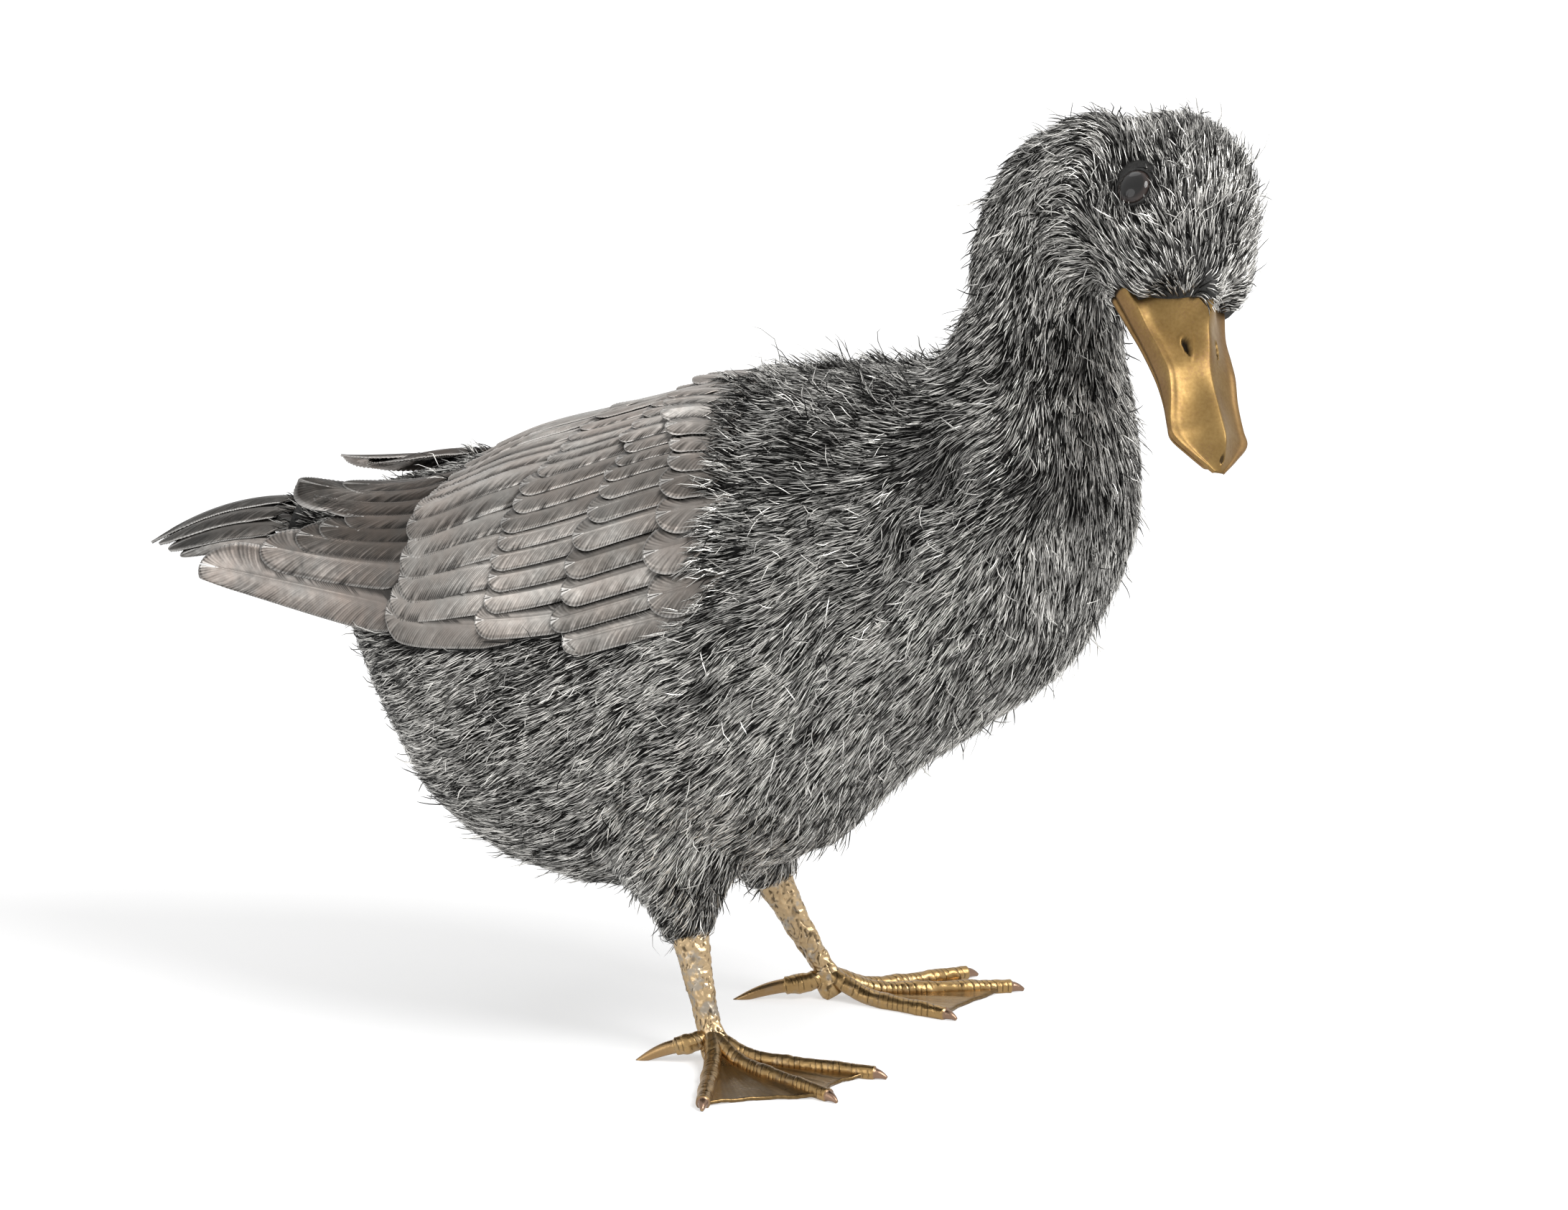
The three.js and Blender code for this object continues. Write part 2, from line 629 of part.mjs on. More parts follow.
function upperBill() {
  const at = billStations.findIndex(({ x }) => x > nostril.x);
  const [before, after] = [billStations[at - 1], billStations[at]];
  const share = (nostril.x - before.x) / (after.x - before.x);
  const [first, second] = [before, after].map((station) => flankHeight(station, nostril.side / station.half));
  const pits = [1, -1].map((side) => {
    const pit = new THREE.SphereGeometry(1, 10, 8).scale(nostril.long, nostril.wide, nostril.deep);
    return pit.translate(nostril.x, side * nostril.side, lerp(first, second, share));
  });
  return cut(loft(billStations.map(upperBillRing)), ...pits);
}

function lowerBill() {
  const first = billStations[0].x;
  const length = billStations.at(-1).x - first;
  const rings = billStations.map(({ x, parting, under, half }) => {
    const place = first + seatGap + ((x - first) * (length - lowerBillShortfall)) / length;
    const top = parting - seatGap;
    return range(lowerBillSides).map((j) => {
      const [up, left] = superellipse((2 * Math.PI * j) / lowerBillSides, 2.7);
      return vec(place, left * (half - lowerBillInset), (top + under) / 2 + (up * (top - under)) / 2);
    });
  });
  return loft(rings);
}

// Wings: points of a wing's surface, by place along, place across and distance outside the body's shell
function wingPoint(along, across, outside, side) {
  const front = lerp(wingFrontTop, wingFrontBottom, across);
  const rear = lerp(wingRearTop, wingRearBottom, across);
  const topAngle = lerp(...wingTopAngle, along);
  const bottomAngle = lerp(...wingBottomAngle, along);
  const angle = radians(lerp(topAngle, bottomAngle, across));
  return bodyPoint(lerp(front, rear, along) / lastStation, angle, outside, side);
}

// The panel is cut to lie along the body's flank.
function wingPlate(side) {
  const grid = (outside) =>
    range(7).map((i) => range(10).map((j) => wingPoint((wingPlateEnd * i) / 6, j / 9, outside, side)));
  return cut(thickSheet(grid(seatGap + plateThickness), grid(-seatGap)), bodyCore(seatGap));
}

// The coverts of one row. Each row's rear lies over the next row's front.
const rowBase = seatGap + plateThickness + seatGap;
const rowStack = featherThickness + featherLift + seatGap * 1.3;
const primarySpacing = Math.min(...primaryFeathers.slice(1).map(({ across }, i) => across - primaryFeathers[i].across));
const primarySlope = (primaryThickness + seatGap) / primarySpacing;
const primaryHeight = seatGap + primarySlope * primarySpacing;
const primaryTop = primaryHeight + primarySlope * primarySpacing + primaryThickness;

function rowHeight(index, along) {
  const { front, tips } = covertRows[index];
  const next = covertRows[index + 1];
  if (index === 0) {
    const overNext = rowHeight(1, tips) + rowStack;
    return lerp(rowBase + rowStack, overNext, (along - front) / (tips - front));
  }
  const meets = next ? next.front : primaryRoot;
  const rise = next ? rowStack : Math.max(primaryTop + seatGap - rowBase, 0);
  return rowBase + (rise * (along - front)) / (meets - front);
}

function covertRow(index, side) {
  const { front, tips, count } = covertRows[index];
  const columns = [];
  for (let feather = 0; feather < count; feather += 1) {
    for (const share of [0.03, 0.45, 0.97]) {
      const round = Math.sqrt(Math.max(0, 1 - (2 * (share - 0.5)) ** 2));
      columns.push({ across: (feather + share) / count, lift: featherLift * share, notch: 1 - round });
    }
  }
  const steps = Math.ceil((tips - front) / covertStep);
  const grid = (above) =>
    range(steps + 1).map((row) =>
      columns.map(({ across, lift, notch }) => {
        const along = lerp(front, tips - scallopDepth * notch, row / steps);
        return wingPoint(along, across, rowHeight(index, along) + lift + above, side);
      }),
    );
  return thickSheet(grid(featherThickness), grid(0));
}

// One long feather that lies on a surface, which is read by place along, place across and height. Its
// outline narrows to the root and is round at the tip. The slope lifts its far edge over its neighbour.
function featherOn(surface, { across, reach, width, height, slope, thickness }) {
  const steps = 7;
  const roundPart = 0.22;
  const step = 0.01;
  const rows = range(steps + 1).map((i) => {
    const share = 1 - (1 - i / steps) ** 1.35;
    const along = reach * share;
    const perMillimetre = (2 * step) / surface(along, across + step, 0).distanceTo(surface(along, across - step, 0));
    const pastRound = Math.max(0, share - (1 - roundPart)) / roundPart;
    const outline = Math.sqrt(Math.max(0.01, 1 - pastRound ** 2));
    return { along, half: (width / 2) * outline * Math.min(1, 0.62 + share) * perMillimetre };
  });
  const grid = (above) =>
    rows.map(({ along, half }) =>
      [-1, 0, 1].map((place) => surface(along, across + half * place, height + slope * half * place + above)),
    );
  return thickSheet(grid(thickness), grid(0));
}

// A surface moved along its own normal.
function offsetSurface(base, facing) {
  const step = 0.01;
  return (along, across, height) => {
    const lengthwise = base(along + step, across).sub(base(along - step, across));
    const crosswise = base(along, across + step).sub(base(along, across - step));
    return base(along, across).addScaledVector(crosswise.cross(lengthwise).normalize(), facing * height);
  };
}

// The surface behind a wing: it leaves the body's flank along the wing and bends towards the ends.
const primaryEndLine = new THREE.CatmullRomCurve3(primaryEnds.map((p) => vec(...p)));

function primarySurface(side) {
  const base = (along, across) => {
    const root = wingPoint(primaryRoot, across, 0, side);
    const onward = wingPoint(1, across, 0, side).sub(root).normalize();
    const end = primaryEndLine.getPoint(THREE.MathUtils.clamp(across, 0, 1));
    end.y *= side;
    const bend = root.clone().addScaledVector(onward, root.distanceTo(end) * 0.45);
    return root
      .clone()
      .multiplyScalar((1 - along) ** 2)
      .addScaledVector(bend, 2 * along * (1 - along))
      .addScaledVector(end, along ** 2);
  };
  return offsetSurface(base, side);
}

function primary({ across, reach, width }, side) {
  const feather = { across, reach, width, height: primaryHeight, slope: primarySlope, thickness: primaryThickness };
  return featherOn(primarySurface(side), feather);
}

// Tail: the feathers' surface is an arch behind the carrier, from -1 on the right to 1 on the left.
const tailRootX = bodyStations[0].back[0] - 2 * seatGap - tailBaseLength;

function tailBaseSurface(along, across) {
  const angle = (across * radians(tailFan)) / 2;
  const flat = 1 - tailFlattening * along;
  return vec(
    tailRootX - tailLength * along,
    tailArchRadius * Math.sin(angle) * lerp(1, tailSpread, along),
    tailArchHeight - tailArchRadius * (1 - Math.cos(angle)) * flat - tailDroop * along ** 2,
  );
}

function tailCarrier() {
  const start = bodyRing(0, 0, 2 * bodySides).map((p) => p.add(vec(-seatGap, 0, 0)));
  const end = bodyStations[0].back[0] - seatGap - tailBaseLength;
  const rim = range(2 * bodySides).map((j) => {
    const angle = (2 * Math.PI * j) / (2 * bodySides);
    const up = Math.cos(angle);
    const reach = tailArchRadius + 1;
    return vec(end, reach * Math.sin(angle), tailArchHeight - tailArchRadius + reach * up * (up > 0 ? 1 : 0.35));
  });
  return loft([start, rim]);
}

function tailFeather(index) {
  const across = (2 * index) / (tailFeathers - 1) - 1;
  const reach = lerp(1, tailSideReach, Math.abs(across));
  const below = Math.abs(index - (tailFeathers - 1) / 2) * (featherThickness + seatGap);
  const feather = { across, reach, width: tailWidth, height: -below, slope: 0, thickness: featherThickness };
  return featherOn(offsetSurface(tailBaseSurface, 1), feather);
}

// Legs
function thigh(leg) {
  const axis = legAxis(leg).normalize();
  const upright = axis.clone().lerp(vec(0, 0, 1), thighLean).normalize();
  const knee = kneeAt(leg);
  const profile = [[0, 0], ...thighProfile.map(({ up, radius }) => [radius, up]), [0, thighProfile.at(-1).up]];
  const cone = turned(profile, { centre: knee, outward: upright }, 20);
  const reach = thighProfile.at(-1).up;
  const bore = rodFrom(knee, axis, studRadius + boreClearance, 2 * reach);
  const seatLength = 2 * shankStations[0].along;
  const seat = rodFrom(knee.clone().addScaledVector(axis, seatGap - seatLength), axis, seatLength, seatLength);
  return cut(cone, bore, seat, bodyCore(seatGap));
}

function shank(leg) {
  const length = legAxis(leg).length() - stubLength - seatGap;
  const rings = shankStations.map(({ down, across, along }) =>
    range(12).map((j) => {
      const angle = (2 * Math.PI * j) / 12;
      return vec(along * Math.cos(angle), across * Math.sin(angle), -down * length);
    }),
  );
  const turn = new THREE.Quaternion().setFromUnitVectors(vec(0, 0, 1), legAxis(leg).normalize());
  const floor = vec(0, 0, -studInShank - boreClearance);
  const blind = rodFrom(floor, vec(0, 0, 1), studRadius + boreClearance, 2 * studInShank);
  const knee = kneeAt(leg);
  return cut(loft(rings), blind).applyQuaternion(turn).translate(knee.x, knee.y, knee.z);
}

function legBridge() {
  const bore = studRadius + boreClearance;
  const sleeves = [legs.left, legs.right].map((leg) => {
    const axis = legAxis(leg).normalize();
    const foot = kneeAt(leg);
    return { foot, axis, top: foot.clone().addScaledVector(axis, bridgeReach) };
  });
  const [left, right] = sleeves;
  const between = left.top.clone().sub(right.top);
  const bar = new THREE.BoxGeometry(between.length(), bridgeBar.fore, bridgeBar.thick);
  bar.applyQuaternion(new THREE.Quaternion().setFromUnitVectors(vec(1, 0, 0), between.clone().normalize()));
  const middle = left.top.clone().lerp(right.top, 0.5);
  bar.translate(middle.x, middle.y, middle.z - bridgeBar.thick - sleeveRadius * 0.5);
  const tubes = sleeves.map(({ foot, axis }) => rodFrom(foot, axis, sleeveRadius, bridgeReach));
  const bores = sleeves.map(({ foot, axis }) => rodFrom(foot, axis, bore, bridgeReach * 1.2));
  const inside = toSolid(bodyCore(-bodyWall - seatGap));
  const solid = toSolid(join(bar, ...tubes)).intersect(inside);
  return toGeometry(bores.reduce((rest, tool) => rest.subtract(toSolid(tool)), solid));
}

function legFixings(name) {
  const axis = legAxis(legs[name]).normalize();
  const at = (up) => kneeAt(legs[name]).addScaledVector(axis, up);
  const washerFrom = bridgeReach + seatGap;
  const nutFrom = washerFrom + washer.thick + seatGap;
  const studTop = nutFrom + nut.thick + studProud;
  const stud = rodFrom(at(-studInShank), axis, studRadius, studInShank + studTop, 14);
  const bore = studRadius + boreClearance;
  const ring = [[bore, 0], [washer.radius, 0], [washer.radius, washer.thick], [bore, washer.thick], [bore, 0]];
  const hexagon = new THREE.Shape(
    range(6).map((i) => {
      const reach = nut.acrossFlats / Math.sqrt(3);
      return new THREE.Vector2(reach * Math.cos((i * Math.PI) / 3), reach * Math.sin((i * Math.PI) / 3));
    }),
  );
  hexagon.holes.push(new THREE.Path().absarc(0, 0, bore, 0, 2 * Math.PI, true));
  const nutBody = new THREE.ExtrudeGeometry(hexagon, { depth: nut.thick, bevelEnabled: false, curveSegments: 8 });
  const turn = new THREE.Quaternion().setFromUnitVectors(vec(0, 0, 1), axis);
  const seat = at(nutFrom);
  nutBody.applyQuaternion(turn).translate(seat.x, seat.y, seat.z);
  return [
    mesh(`leg_stud_${name}`, stud, finishes.fixingSteel),
    mesh(`leg_washer_${name}`, turned(ring, { centre: at(washerFrom), outward: axis }), finishes.fixingSteel),
    mesh(`leg_nut_${name}`, nutBody, finishes.fixingSteel),
  ];
}

// Feet, about the ankle's place on the floor
function toeRings(angle, length, radius, tipRadius, from, knuckles) {
  const direction = vec(Math.cos(radians(angle)), Math.sin(radians(angle)), 0);
  const left = vec(-direction.y, direction.x, 0);
  const shares = [0, 0.12, 0.25, ...knuckles.flatMap((k) => [k - 0.06, k, k + 0.06]), 0.9, 1];
  return [...new Set(shares)].sort((a, b) => a - b).map((share) => {
    const nearKnuckle = knuckles.some((k) => Math.abs(k - share) < 0.01);
    const size = lerp(radius, tipRadius, share) + (nearKnuckle ? knuckleBulge : 0);
    const round = share === 1 ? 0.45 : 1;
    const height = lerp(ankleHeight - 1, tipRadius - toeSink, Math.min(1, share * 1.6) ** 0.7);
    const centre = direction.clone().multiplyScalar(lerp(from, length, share));
    centre.z = Math.max(height, size - toeSink);
    return range(8).map((j) => {
      const turn = (2 * Math.PI * j) / 8;
      const ringPoint = centre.clone().addScaledVector(left, size * round * Math.sin(turn));
      ringPoint.z += size * round * Math.cos(turn);
      return ringPoint;
    });
  });
}

function webBetween(first, second) {
  const steps = 4;
  const grid = (above) =>
    range(steps + 1).map((i) =>
      range(steps + 1).map((j) => {
        const across = j / steps;
        const angle = radians(lerp(first.angle, second.angle, across));
        const edge = webReach * (1 - webHollow * 4 * across * (1 - across));
        const share = lerp(webBack, edge, i / steps);
        const radius = lerp(first.length, second.length, across) * share;
        const sag = 1 - 0.35 * 4 * across * (1 - across);
        const height = lerp(ankleHeight - 1, toeTipRadius - toeSink, Math.min(1, share * 1.6) ** 0.7) * sag;
        return vec(radius * Math.cos(angle), radius * Math.sin(angle), Math.max(height, webThickness / 2) + above);
      }),
    );
  return thickSheet(grid(webThickness / 2), grid(-webThickness / 2));
}

function foot(name) {
  const toes = footToes[name];
  const hub = new THREE.SphereGeometry(hubRadius, 12, 8).rotateX(Math.PI / 2).translate(0, 0, ankleHeight);
  const stub = rodFrom(vec(0, 0, ankleHeight), legAxis(legs[name]), shankStations.at(-1).across, stubLength, 12);
  const bars = toes.map(({ angle, length }) => loft(toeRings(angle, length, toeRadius, toeTipRadius, 0, toeKnuckles)));
  const webs = [webBetween(toes[0], toes[1]), webBetween(toes[1], toes[2])];
  const reach = 4 * Math.max(...toes.map(({ length }) => length));
  const floor = new THREE.BoxGeometry(reach, reach, 20).translate(0, 0, -10);
  return cut(join(hub, stub, ...bars, ...webs), floor);
}

function hindToe(name) {
  const { angle, length } = hindToes[name];
  const bar = loft(toeRings(angle, length, hindToeRadius, toeTipRadius * 0.8, 0, [0.45, 0.7]));
  const clear = new THREE.SphereGeometry(hubRadius + seatGap, 12, 8).rotateX(Math.PI / 2);
  const ankle = vec(0, 0, ankleHeight);
  const stubRadius = shankStations.at(-1).across + seatGap;
  const stub = rodFrom(ankle, legAxis(legs[name]), stubRadius, 2 * stubLength, 12);
  const around = rodFrom(vec(0, 0, -1), vec(0, 0, 1), hubRadius + seatGap, ankleHeight + 1, 12);
  const floor = new THREE.BoxGeometry(4 * length, 4 * length, 20).translate(0, 0, -10);
  return cut(bar, clear.translate(0, 0, ankleHeight), stub, around, floor);
}

// Assembly
const upper = new THREE.Group(); // everything that the knees carry
upper.position.z = kneeHeight;
const legHole = (leg) => rodFrom(kneeAt(leg), legAxis(leg), studRadius + boreClearance, bridgeReach);
upper.add(mesh("body_shell_right", cut(bodyShell(-1), legHole(legs.right)), finishes.furSilver));
upper.add(mesh("body_shell_left", cut(bodyShell(1), legHole(legs.left)), finishes.furSilver));
const headClear = loft(headRings(seatGap)).applyMatrix4(head.matrixWorld);
upper.add(mesh("neck_shell", largest(cut(neckTube(), headClear)), finishes.furSilver));

const eyeFrames = { left: eyeFrame(1), right: eyeFrame(-1) };
head.add(mesh("head_shell", headShell(Object.values(eyeFrames)), finishes.furSilver));
bill.add(mesh("bill_upper", upperBill(), finishes.billGilt));
bill.add(mesh("bill_lower", lowerBill(), finishes.billGilt));
for (const [name, frame] of Object.entries(eyeFrames)) {
  head.add(mesh(`eye_${name}`, eyeBall(frame), finishes.eyeGlass));
  head.add(mesh(`eye_socket_${name}`, eyeSocket(frame), finishes.furSilver));
}
upper.add(head);

for (const [name, side] of [["right", -1], ["left", 1]]) {
  upper.add(mesh(`wing_plate_${name}`, wingPlate(side), finishes.featherSilver));
  covertRows.forEach((row, index) => {
    upper.add(mesh(`covert_row_${index + 1}_${name}`, covertRow(index, side), finishes.featherSilver));
  });
  primaryFeathers.forEach((feather, index) => {
    upper.add(mesh(`primary_${index + 1}_${name}`, primary(feather, side), finishes.featherSilver));
  });
}
for (const [name, leg] of Object.entries(legs)) {
  upper.add(mesh(`thigh_${name}`, thigh(leg), finishes.furSilver));
  upper.add(mesh(`shank_${name}`, shank(leg), finishes.legGilt));
  upper.add(...legFixings(name));
}
upper.add(mesh("leg_bridge", legBridge(), finishes.fixingSteel));
upper.add(mesh("tail_base", tailCarrier(), finishes.furSilver));
for (const index of range(tailFeathers)) {
  upper.add(mesh(`tail_feather_${index + 1}`, tailFeather(index), finishes.featherSilver));
}

const duck = new THREE.Group();
duck.add(upper);
for (const [name, { ankle }] of Object.entries(legs)) {
  const place = new THREE.Group();
  place.position.set(...ankle, 0);
  place.add(mesh(`foot_${name}`, foot(name), finishes.legGilt));
  place.add(mesh(`hind_toe_${name}`, hindToe(name), finishes.legGilt));
  duck.add(place);
}

// The origin is the middle of the whole duck's outline on the floor
const outline = new THREE.Box3().setFromObject(duck, true);
duck.position.x = -(outline.min.x + outline.max.x) / 2;
duck.position.y = -(outline.min.y + outline.max.y) / 2;

export default duck;
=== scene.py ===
# Silver duck: wire coat, chased wings and tail, gilt bill, legs and feet, set on the construction frame.
# The dictionaries are in millimetres and degrees, the finished pieces in metres.
import json
import math

import bpy
import numpy as np
from mathutils import Matrix, Vector, kdtree
from mathutils.bvhtree import BVHTree


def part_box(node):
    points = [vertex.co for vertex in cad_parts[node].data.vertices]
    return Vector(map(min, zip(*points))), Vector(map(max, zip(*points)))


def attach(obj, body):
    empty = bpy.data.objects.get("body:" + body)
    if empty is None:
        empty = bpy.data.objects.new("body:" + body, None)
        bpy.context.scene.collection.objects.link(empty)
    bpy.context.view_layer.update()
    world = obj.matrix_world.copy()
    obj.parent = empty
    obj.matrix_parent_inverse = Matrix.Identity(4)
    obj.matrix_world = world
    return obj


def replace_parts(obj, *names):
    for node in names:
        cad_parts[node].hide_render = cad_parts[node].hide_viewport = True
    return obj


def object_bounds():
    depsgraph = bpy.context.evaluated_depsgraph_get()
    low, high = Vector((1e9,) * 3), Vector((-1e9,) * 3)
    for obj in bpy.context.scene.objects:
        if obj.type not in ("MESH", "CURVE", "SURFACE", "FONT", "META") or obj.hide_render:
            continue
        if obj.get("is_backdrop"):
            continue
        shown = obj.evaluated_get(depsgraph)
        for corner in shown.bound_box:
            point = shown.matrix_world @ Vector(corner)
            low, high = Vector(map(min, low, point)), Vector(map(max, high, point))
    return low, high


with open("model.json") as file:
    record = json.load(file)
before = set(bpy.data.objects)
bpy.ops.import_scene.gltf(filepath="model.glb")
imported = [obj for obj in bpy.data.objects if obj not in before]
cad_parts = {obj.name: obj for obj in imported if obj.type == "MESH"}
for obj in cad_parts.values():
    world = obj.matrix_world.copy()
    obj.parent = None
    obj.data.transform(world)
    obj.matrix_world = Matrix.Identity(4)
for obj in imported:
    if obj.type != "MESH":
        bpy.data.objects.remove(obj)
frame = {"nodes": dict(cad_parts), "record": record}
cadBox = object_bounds()
mm = 0.001
sides = {"right": -1, "left": 1}


# Small helpers

def mix(a, b, t):
    return a + (b - a) * t


def unit(vectors):
    return vectors / np.maximum(np.linalg.norm(vectors, axis=-1, keepdims=True), 1e-9)


def smoothStep(low, high, value):
    t = np.clip((value - low) / (high - low), 0, 1)
    return t * t * (3 - 2 * t)


def around(count):
    return np.linspace(0, 2 * math.pi, count, endpoint=False)


def matched(*values):
    return np.broadcast_arrays(*(np.asarray(value, float) for value in values))


def squared(wave, squareness):
    # a sine or cosine pushed out towards the corners of its square
    return np.sign(wave) * np.abs(wave) ** (2 / squareness)


def smoothCurve(points, even=False):
    # a smooth line through points, read at shares 0 to 1; even ignores how far apart the points are
    pts = np.array(points, float)
    if pts.ndim == 1:
        pts = pts[:, None]
    pts = np.vstack([2 * pts[0] - pts[1], pts, 2 * pts[-1] - pts[-2]])
    spans = len(pts) - 3

    def read(share):
        place = np.clip(np.asarray(share, float), 0, 1) * spans
        first = np.minimum(place.astype(int), spans - 1)
        t = (place - first)[..., None]
        p0, p1, p2, p3 = (pts[first + k] for k in range(4))
        if even:
            m1, m2 = (p2 - p0) / 2, (p3 - p1) / 2
        else:
            d0, d1, d2 = (
                np.sqrt(np.linalg.norm(b - a, axis=-1, keepdims=True))
                for a, b in ((p0, p1), (p1, p2), (p2, p3))
            )
            m1 = ((p1 - p0) / d0 - (p2 - p0) / (d0 + d1) + (p2 - p1) / d1) * d1
            m2 = ((p2 - p1) / d1 - (p3 - p1) / (d1 + d2) + (p3 - p2) / d2) * d1
        return p1 + m1 * t + (3 * (p2 - p1) - 2 * m1 - m2) * t**2 + (2 * (p1 - p2) + m1 + m2) * t**3

    return read


def ripples(points, size, seed, waves=7):
    # smooth noise between about -1 and 1, as a sum of waves about this many millimetres long
    rng = np.random.default_rng(seed)
    total = np.zeros(points.shape[:-1])
    for _ in range(waves):
        heading = unit(rng.normal(size=3))
        pitch = 2 * math.pi / (size * rng.uniform(0.7, 1.6))
        total += np.sin(points @ heading * pitch + rng.uniform(0, 2 * math.pi))
    return total / math.sqrt(waves)


def enclosed(points, groups):
    # the volume inside a closed mesh, negative where its faces look inwards
    total = 0
    for group in groups:
        for k in range(1, group.shape[1] - 1):
            a, b, c = (points[group[:, j]] for j in (0, k, k + 1))
            total += (a * np.cross(b, c)).sum()
    return total / 6


def newPiece(name, points, faces, material, bakeUv, marks=None):
    # points in metres, faces as one array per number of corners, marks as a value for each point
    mesh = bpy.data.meshes.new(name)
    groups = [np.asarray(group, int) for group in faces if len(group)]
    if enclosed(np.asarray(points, float), groups) < 0:
        groups = [group[:, ::-1] for group in groups]
    corners = np.concatenate([group.ravel() for group in groups])
    sizes = np.concatenate([np.full(len(group), group.shape[1]) for group in groups])
    mesh.vertices.add(len(points))
    mesh.vertices.foreach_set("co", np.ascontiguousarray(points, dtype=np.float32).ravel())
    mesh.loops.add(len(corners))
    mesh.loops.foreach_set("vertex_index", corners.astype(np.int32))
    mesh.polygons.add(len(sizes))
    mesh.polygons.foreach_set("loop_start", np.concatenate([[0], np.cumsum(sizes)[:-1]]).astype(np.int32))
    for label, values in (marks or {}).items():
        layer = mesh.attributes.new(label, "FLOAT", "POINT")
        layer.data.foreach_set("value", np.asarray(values, dtype=np.float32).ravel())
    layer = mesh.uv_layers.new(name="OFBake")
    layer.data.foreach_set("uv", np.asarray(bakeUv, dtype=np.float32)[corners].ravel())
    mesh.update(calc_edges=True)
    mesh.validate()
    mesh.shade_smooth()
    mesh.materials.append(material)
    piece = bpy.data.objects.new(name, mesh)
    bpy.context.collection.objects.link(piece)
    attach(piece, "root")
    return piece


def gridFaces(rows, columns, closed=False):
    i, j = np.meshgrid(np.arange(rows - 1), np.arange(columns if closed else columns - 1), indexing="ij")
    nextJ = (j + 1) % columns
    quads = np.stack([i * columns + j, i * columns + nextJ, (i + 1) * columns + nextJ, (i + 1) * columns + j], -1)
    return quads.reshape(-1, 4)


def sheetFaces(rows, columns):
    # faces of a thin plate: a top grid, then a bottom grid, joined round the rim
    top = gridFaces(rows, columns)
    size = rows * columns
    bottom = top[:, ::-1] + size
    grid = np.arange(size).reshape(rows, columns)
    rim = np.concatenate([grid[0, :-1], grid[:-1, -1], grid[-1, :0:-1], grid[:0:-1, 0]])
    after = np.roll(rim, -1)
    return np.concatenate([top, bottom, np.stack([after, rim, rim + size, after + size], -1)])


def closeTube(points):
    # a grid of rings closed at both ends: its points with the two caps' middles, its quads and its end fans
    rows, count = points.shape[:2]
    caps = np.stack([points[0].mean(0), points[-1].mean(0)])
    middle = rows * count
    j = np.arange(count)
    after = (j + 1) % count
    far = middle - count
    fans = np.concatenate([
        np.stack([np.full(count, middle), j, after], -1),
        np.stack([np.full(count, middle + 1), after + far, j + far], -1),
    ])
    return np.concatenate([points.reshape(-1, 3), caps]), gridFaces(rows, count, closed=True)[:, ::-1], fans


def tubeMark(values, shape, caps=(0, 0)):
    return np.append(np.broadcast_to(values, shape).ravel(), caps)


def tubeUv(across, along):
    # places on the bake map, for a tube's grid and its two caps
    uv = np.stack(matched(across, along), -1).reshape(-1, 2)
    return np.concatenate([uv, [[0.5, 0], [0.5, 1]]])


# Camera, lamps and stage

view = {
    "azimuth": 22,  # round to the duck's breast
    "elevation": 15,
    "distance": 5000,
    "frameWidth": 502.07,  # of the picture, at the duck
    "aimAcross": 5.839,  # the picture's middle from the duck's place, along the picture
    "aimUp": 134.8,
    "sensor": 36,
}

bodyLow, bodyHigh = (np.array(corner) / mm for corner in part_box("body_shell_right"))
rumpReach = 152  # from the duck's own origin back to the rump's end
duckOrigin = np.array([bodyLow[0] + rumpReach, bodyHigh[1], 0])


def setCamera():
    azimuth, elevation = math.radians(view["azimuth"]), math.radians(view["elevation"])
    right = Vector((math.cos(azimuth), math.sin(azimuth), 0))
    back = Vector((
        math.sin(azimuth) * math.cos(elevation), -math.cos(azimuth) * math.cos(elevation), math.sin(elevation)
    ))
    up = back.cross(right)
    target = (Vector(duckOrigin) + right * view["aimAcross"] + up * view["aimUp"]) * mm
    data = bpy.data.cameras.new("camera")
    data.sensor_fit = "HORIZONTAL"
    data.sensor_width = view["sensor"]
    data.lens = view["sensor"] * view["distance"] / view["frameWidth"]
    data.clip_end = 50
    camera = bpy.data.objects.new("camera", data)
    camera.matrix_world = Matrix((right, up, back)).transposed().to_4x4()
    camera.location = target + back * view["distance"] * mm
    bpy.context.collection.objects.link(camera)
    bpy.context.scene.camera = camera
    return right, up, back, target


right, up, back, target = setCamera()

lamps = {
    # place from the duck's middle along the picture, up, and towards the viewer; size; watts
    "key": {"at": (900, 1200, 700), "size": 950, "power": 28},
    "fill": {"at": (-1100, 500, 900), "size": 1100, "power": 5},
    "rim": {"at": (-300, 1300, -700), "size": 900, "power": 2.4},
}


def setLamps():
    for name, spec in lamps.items():
        data = bpy.data.lights.new(name, "AREA")
        data.shape = "DISK"
        data.size = spec["size"] * mm
        data.energy = spec["power"]
        lamp = bpy.data.objects.new(name, data)
        across, high, near = spec["at"]
        level = Vector((back.x, back.y, 0)).normalized()
        lamp.location = target + (right * across + Vector((0, 0, high)) + level * near) * mm
        lamp.rotation_euler = (lamp.location - target).to_track_quat("Z", "Y").to_euler()
        bpy.context.collection.objects.link(lamp)


def setSocket(tree, socket, value):
    # what a socket gets: a node's output, a colour or a number
    if isinstance(value, bpy.types.NodeSocket):
        tree.links.new(value, socket)
    else:
        socket.default_value = (*value, 1) if isinstance(value, tuple) else value


def addNode(tree, kind, sockets=None, **settings):
    node = tree.nodes.new(kind)
    for name, value in settings.items():
        setattr(node, name, value)
    for name, value in (sockets or {}).items():
        setSocket(tree, node.inputs[name], value)
    return node


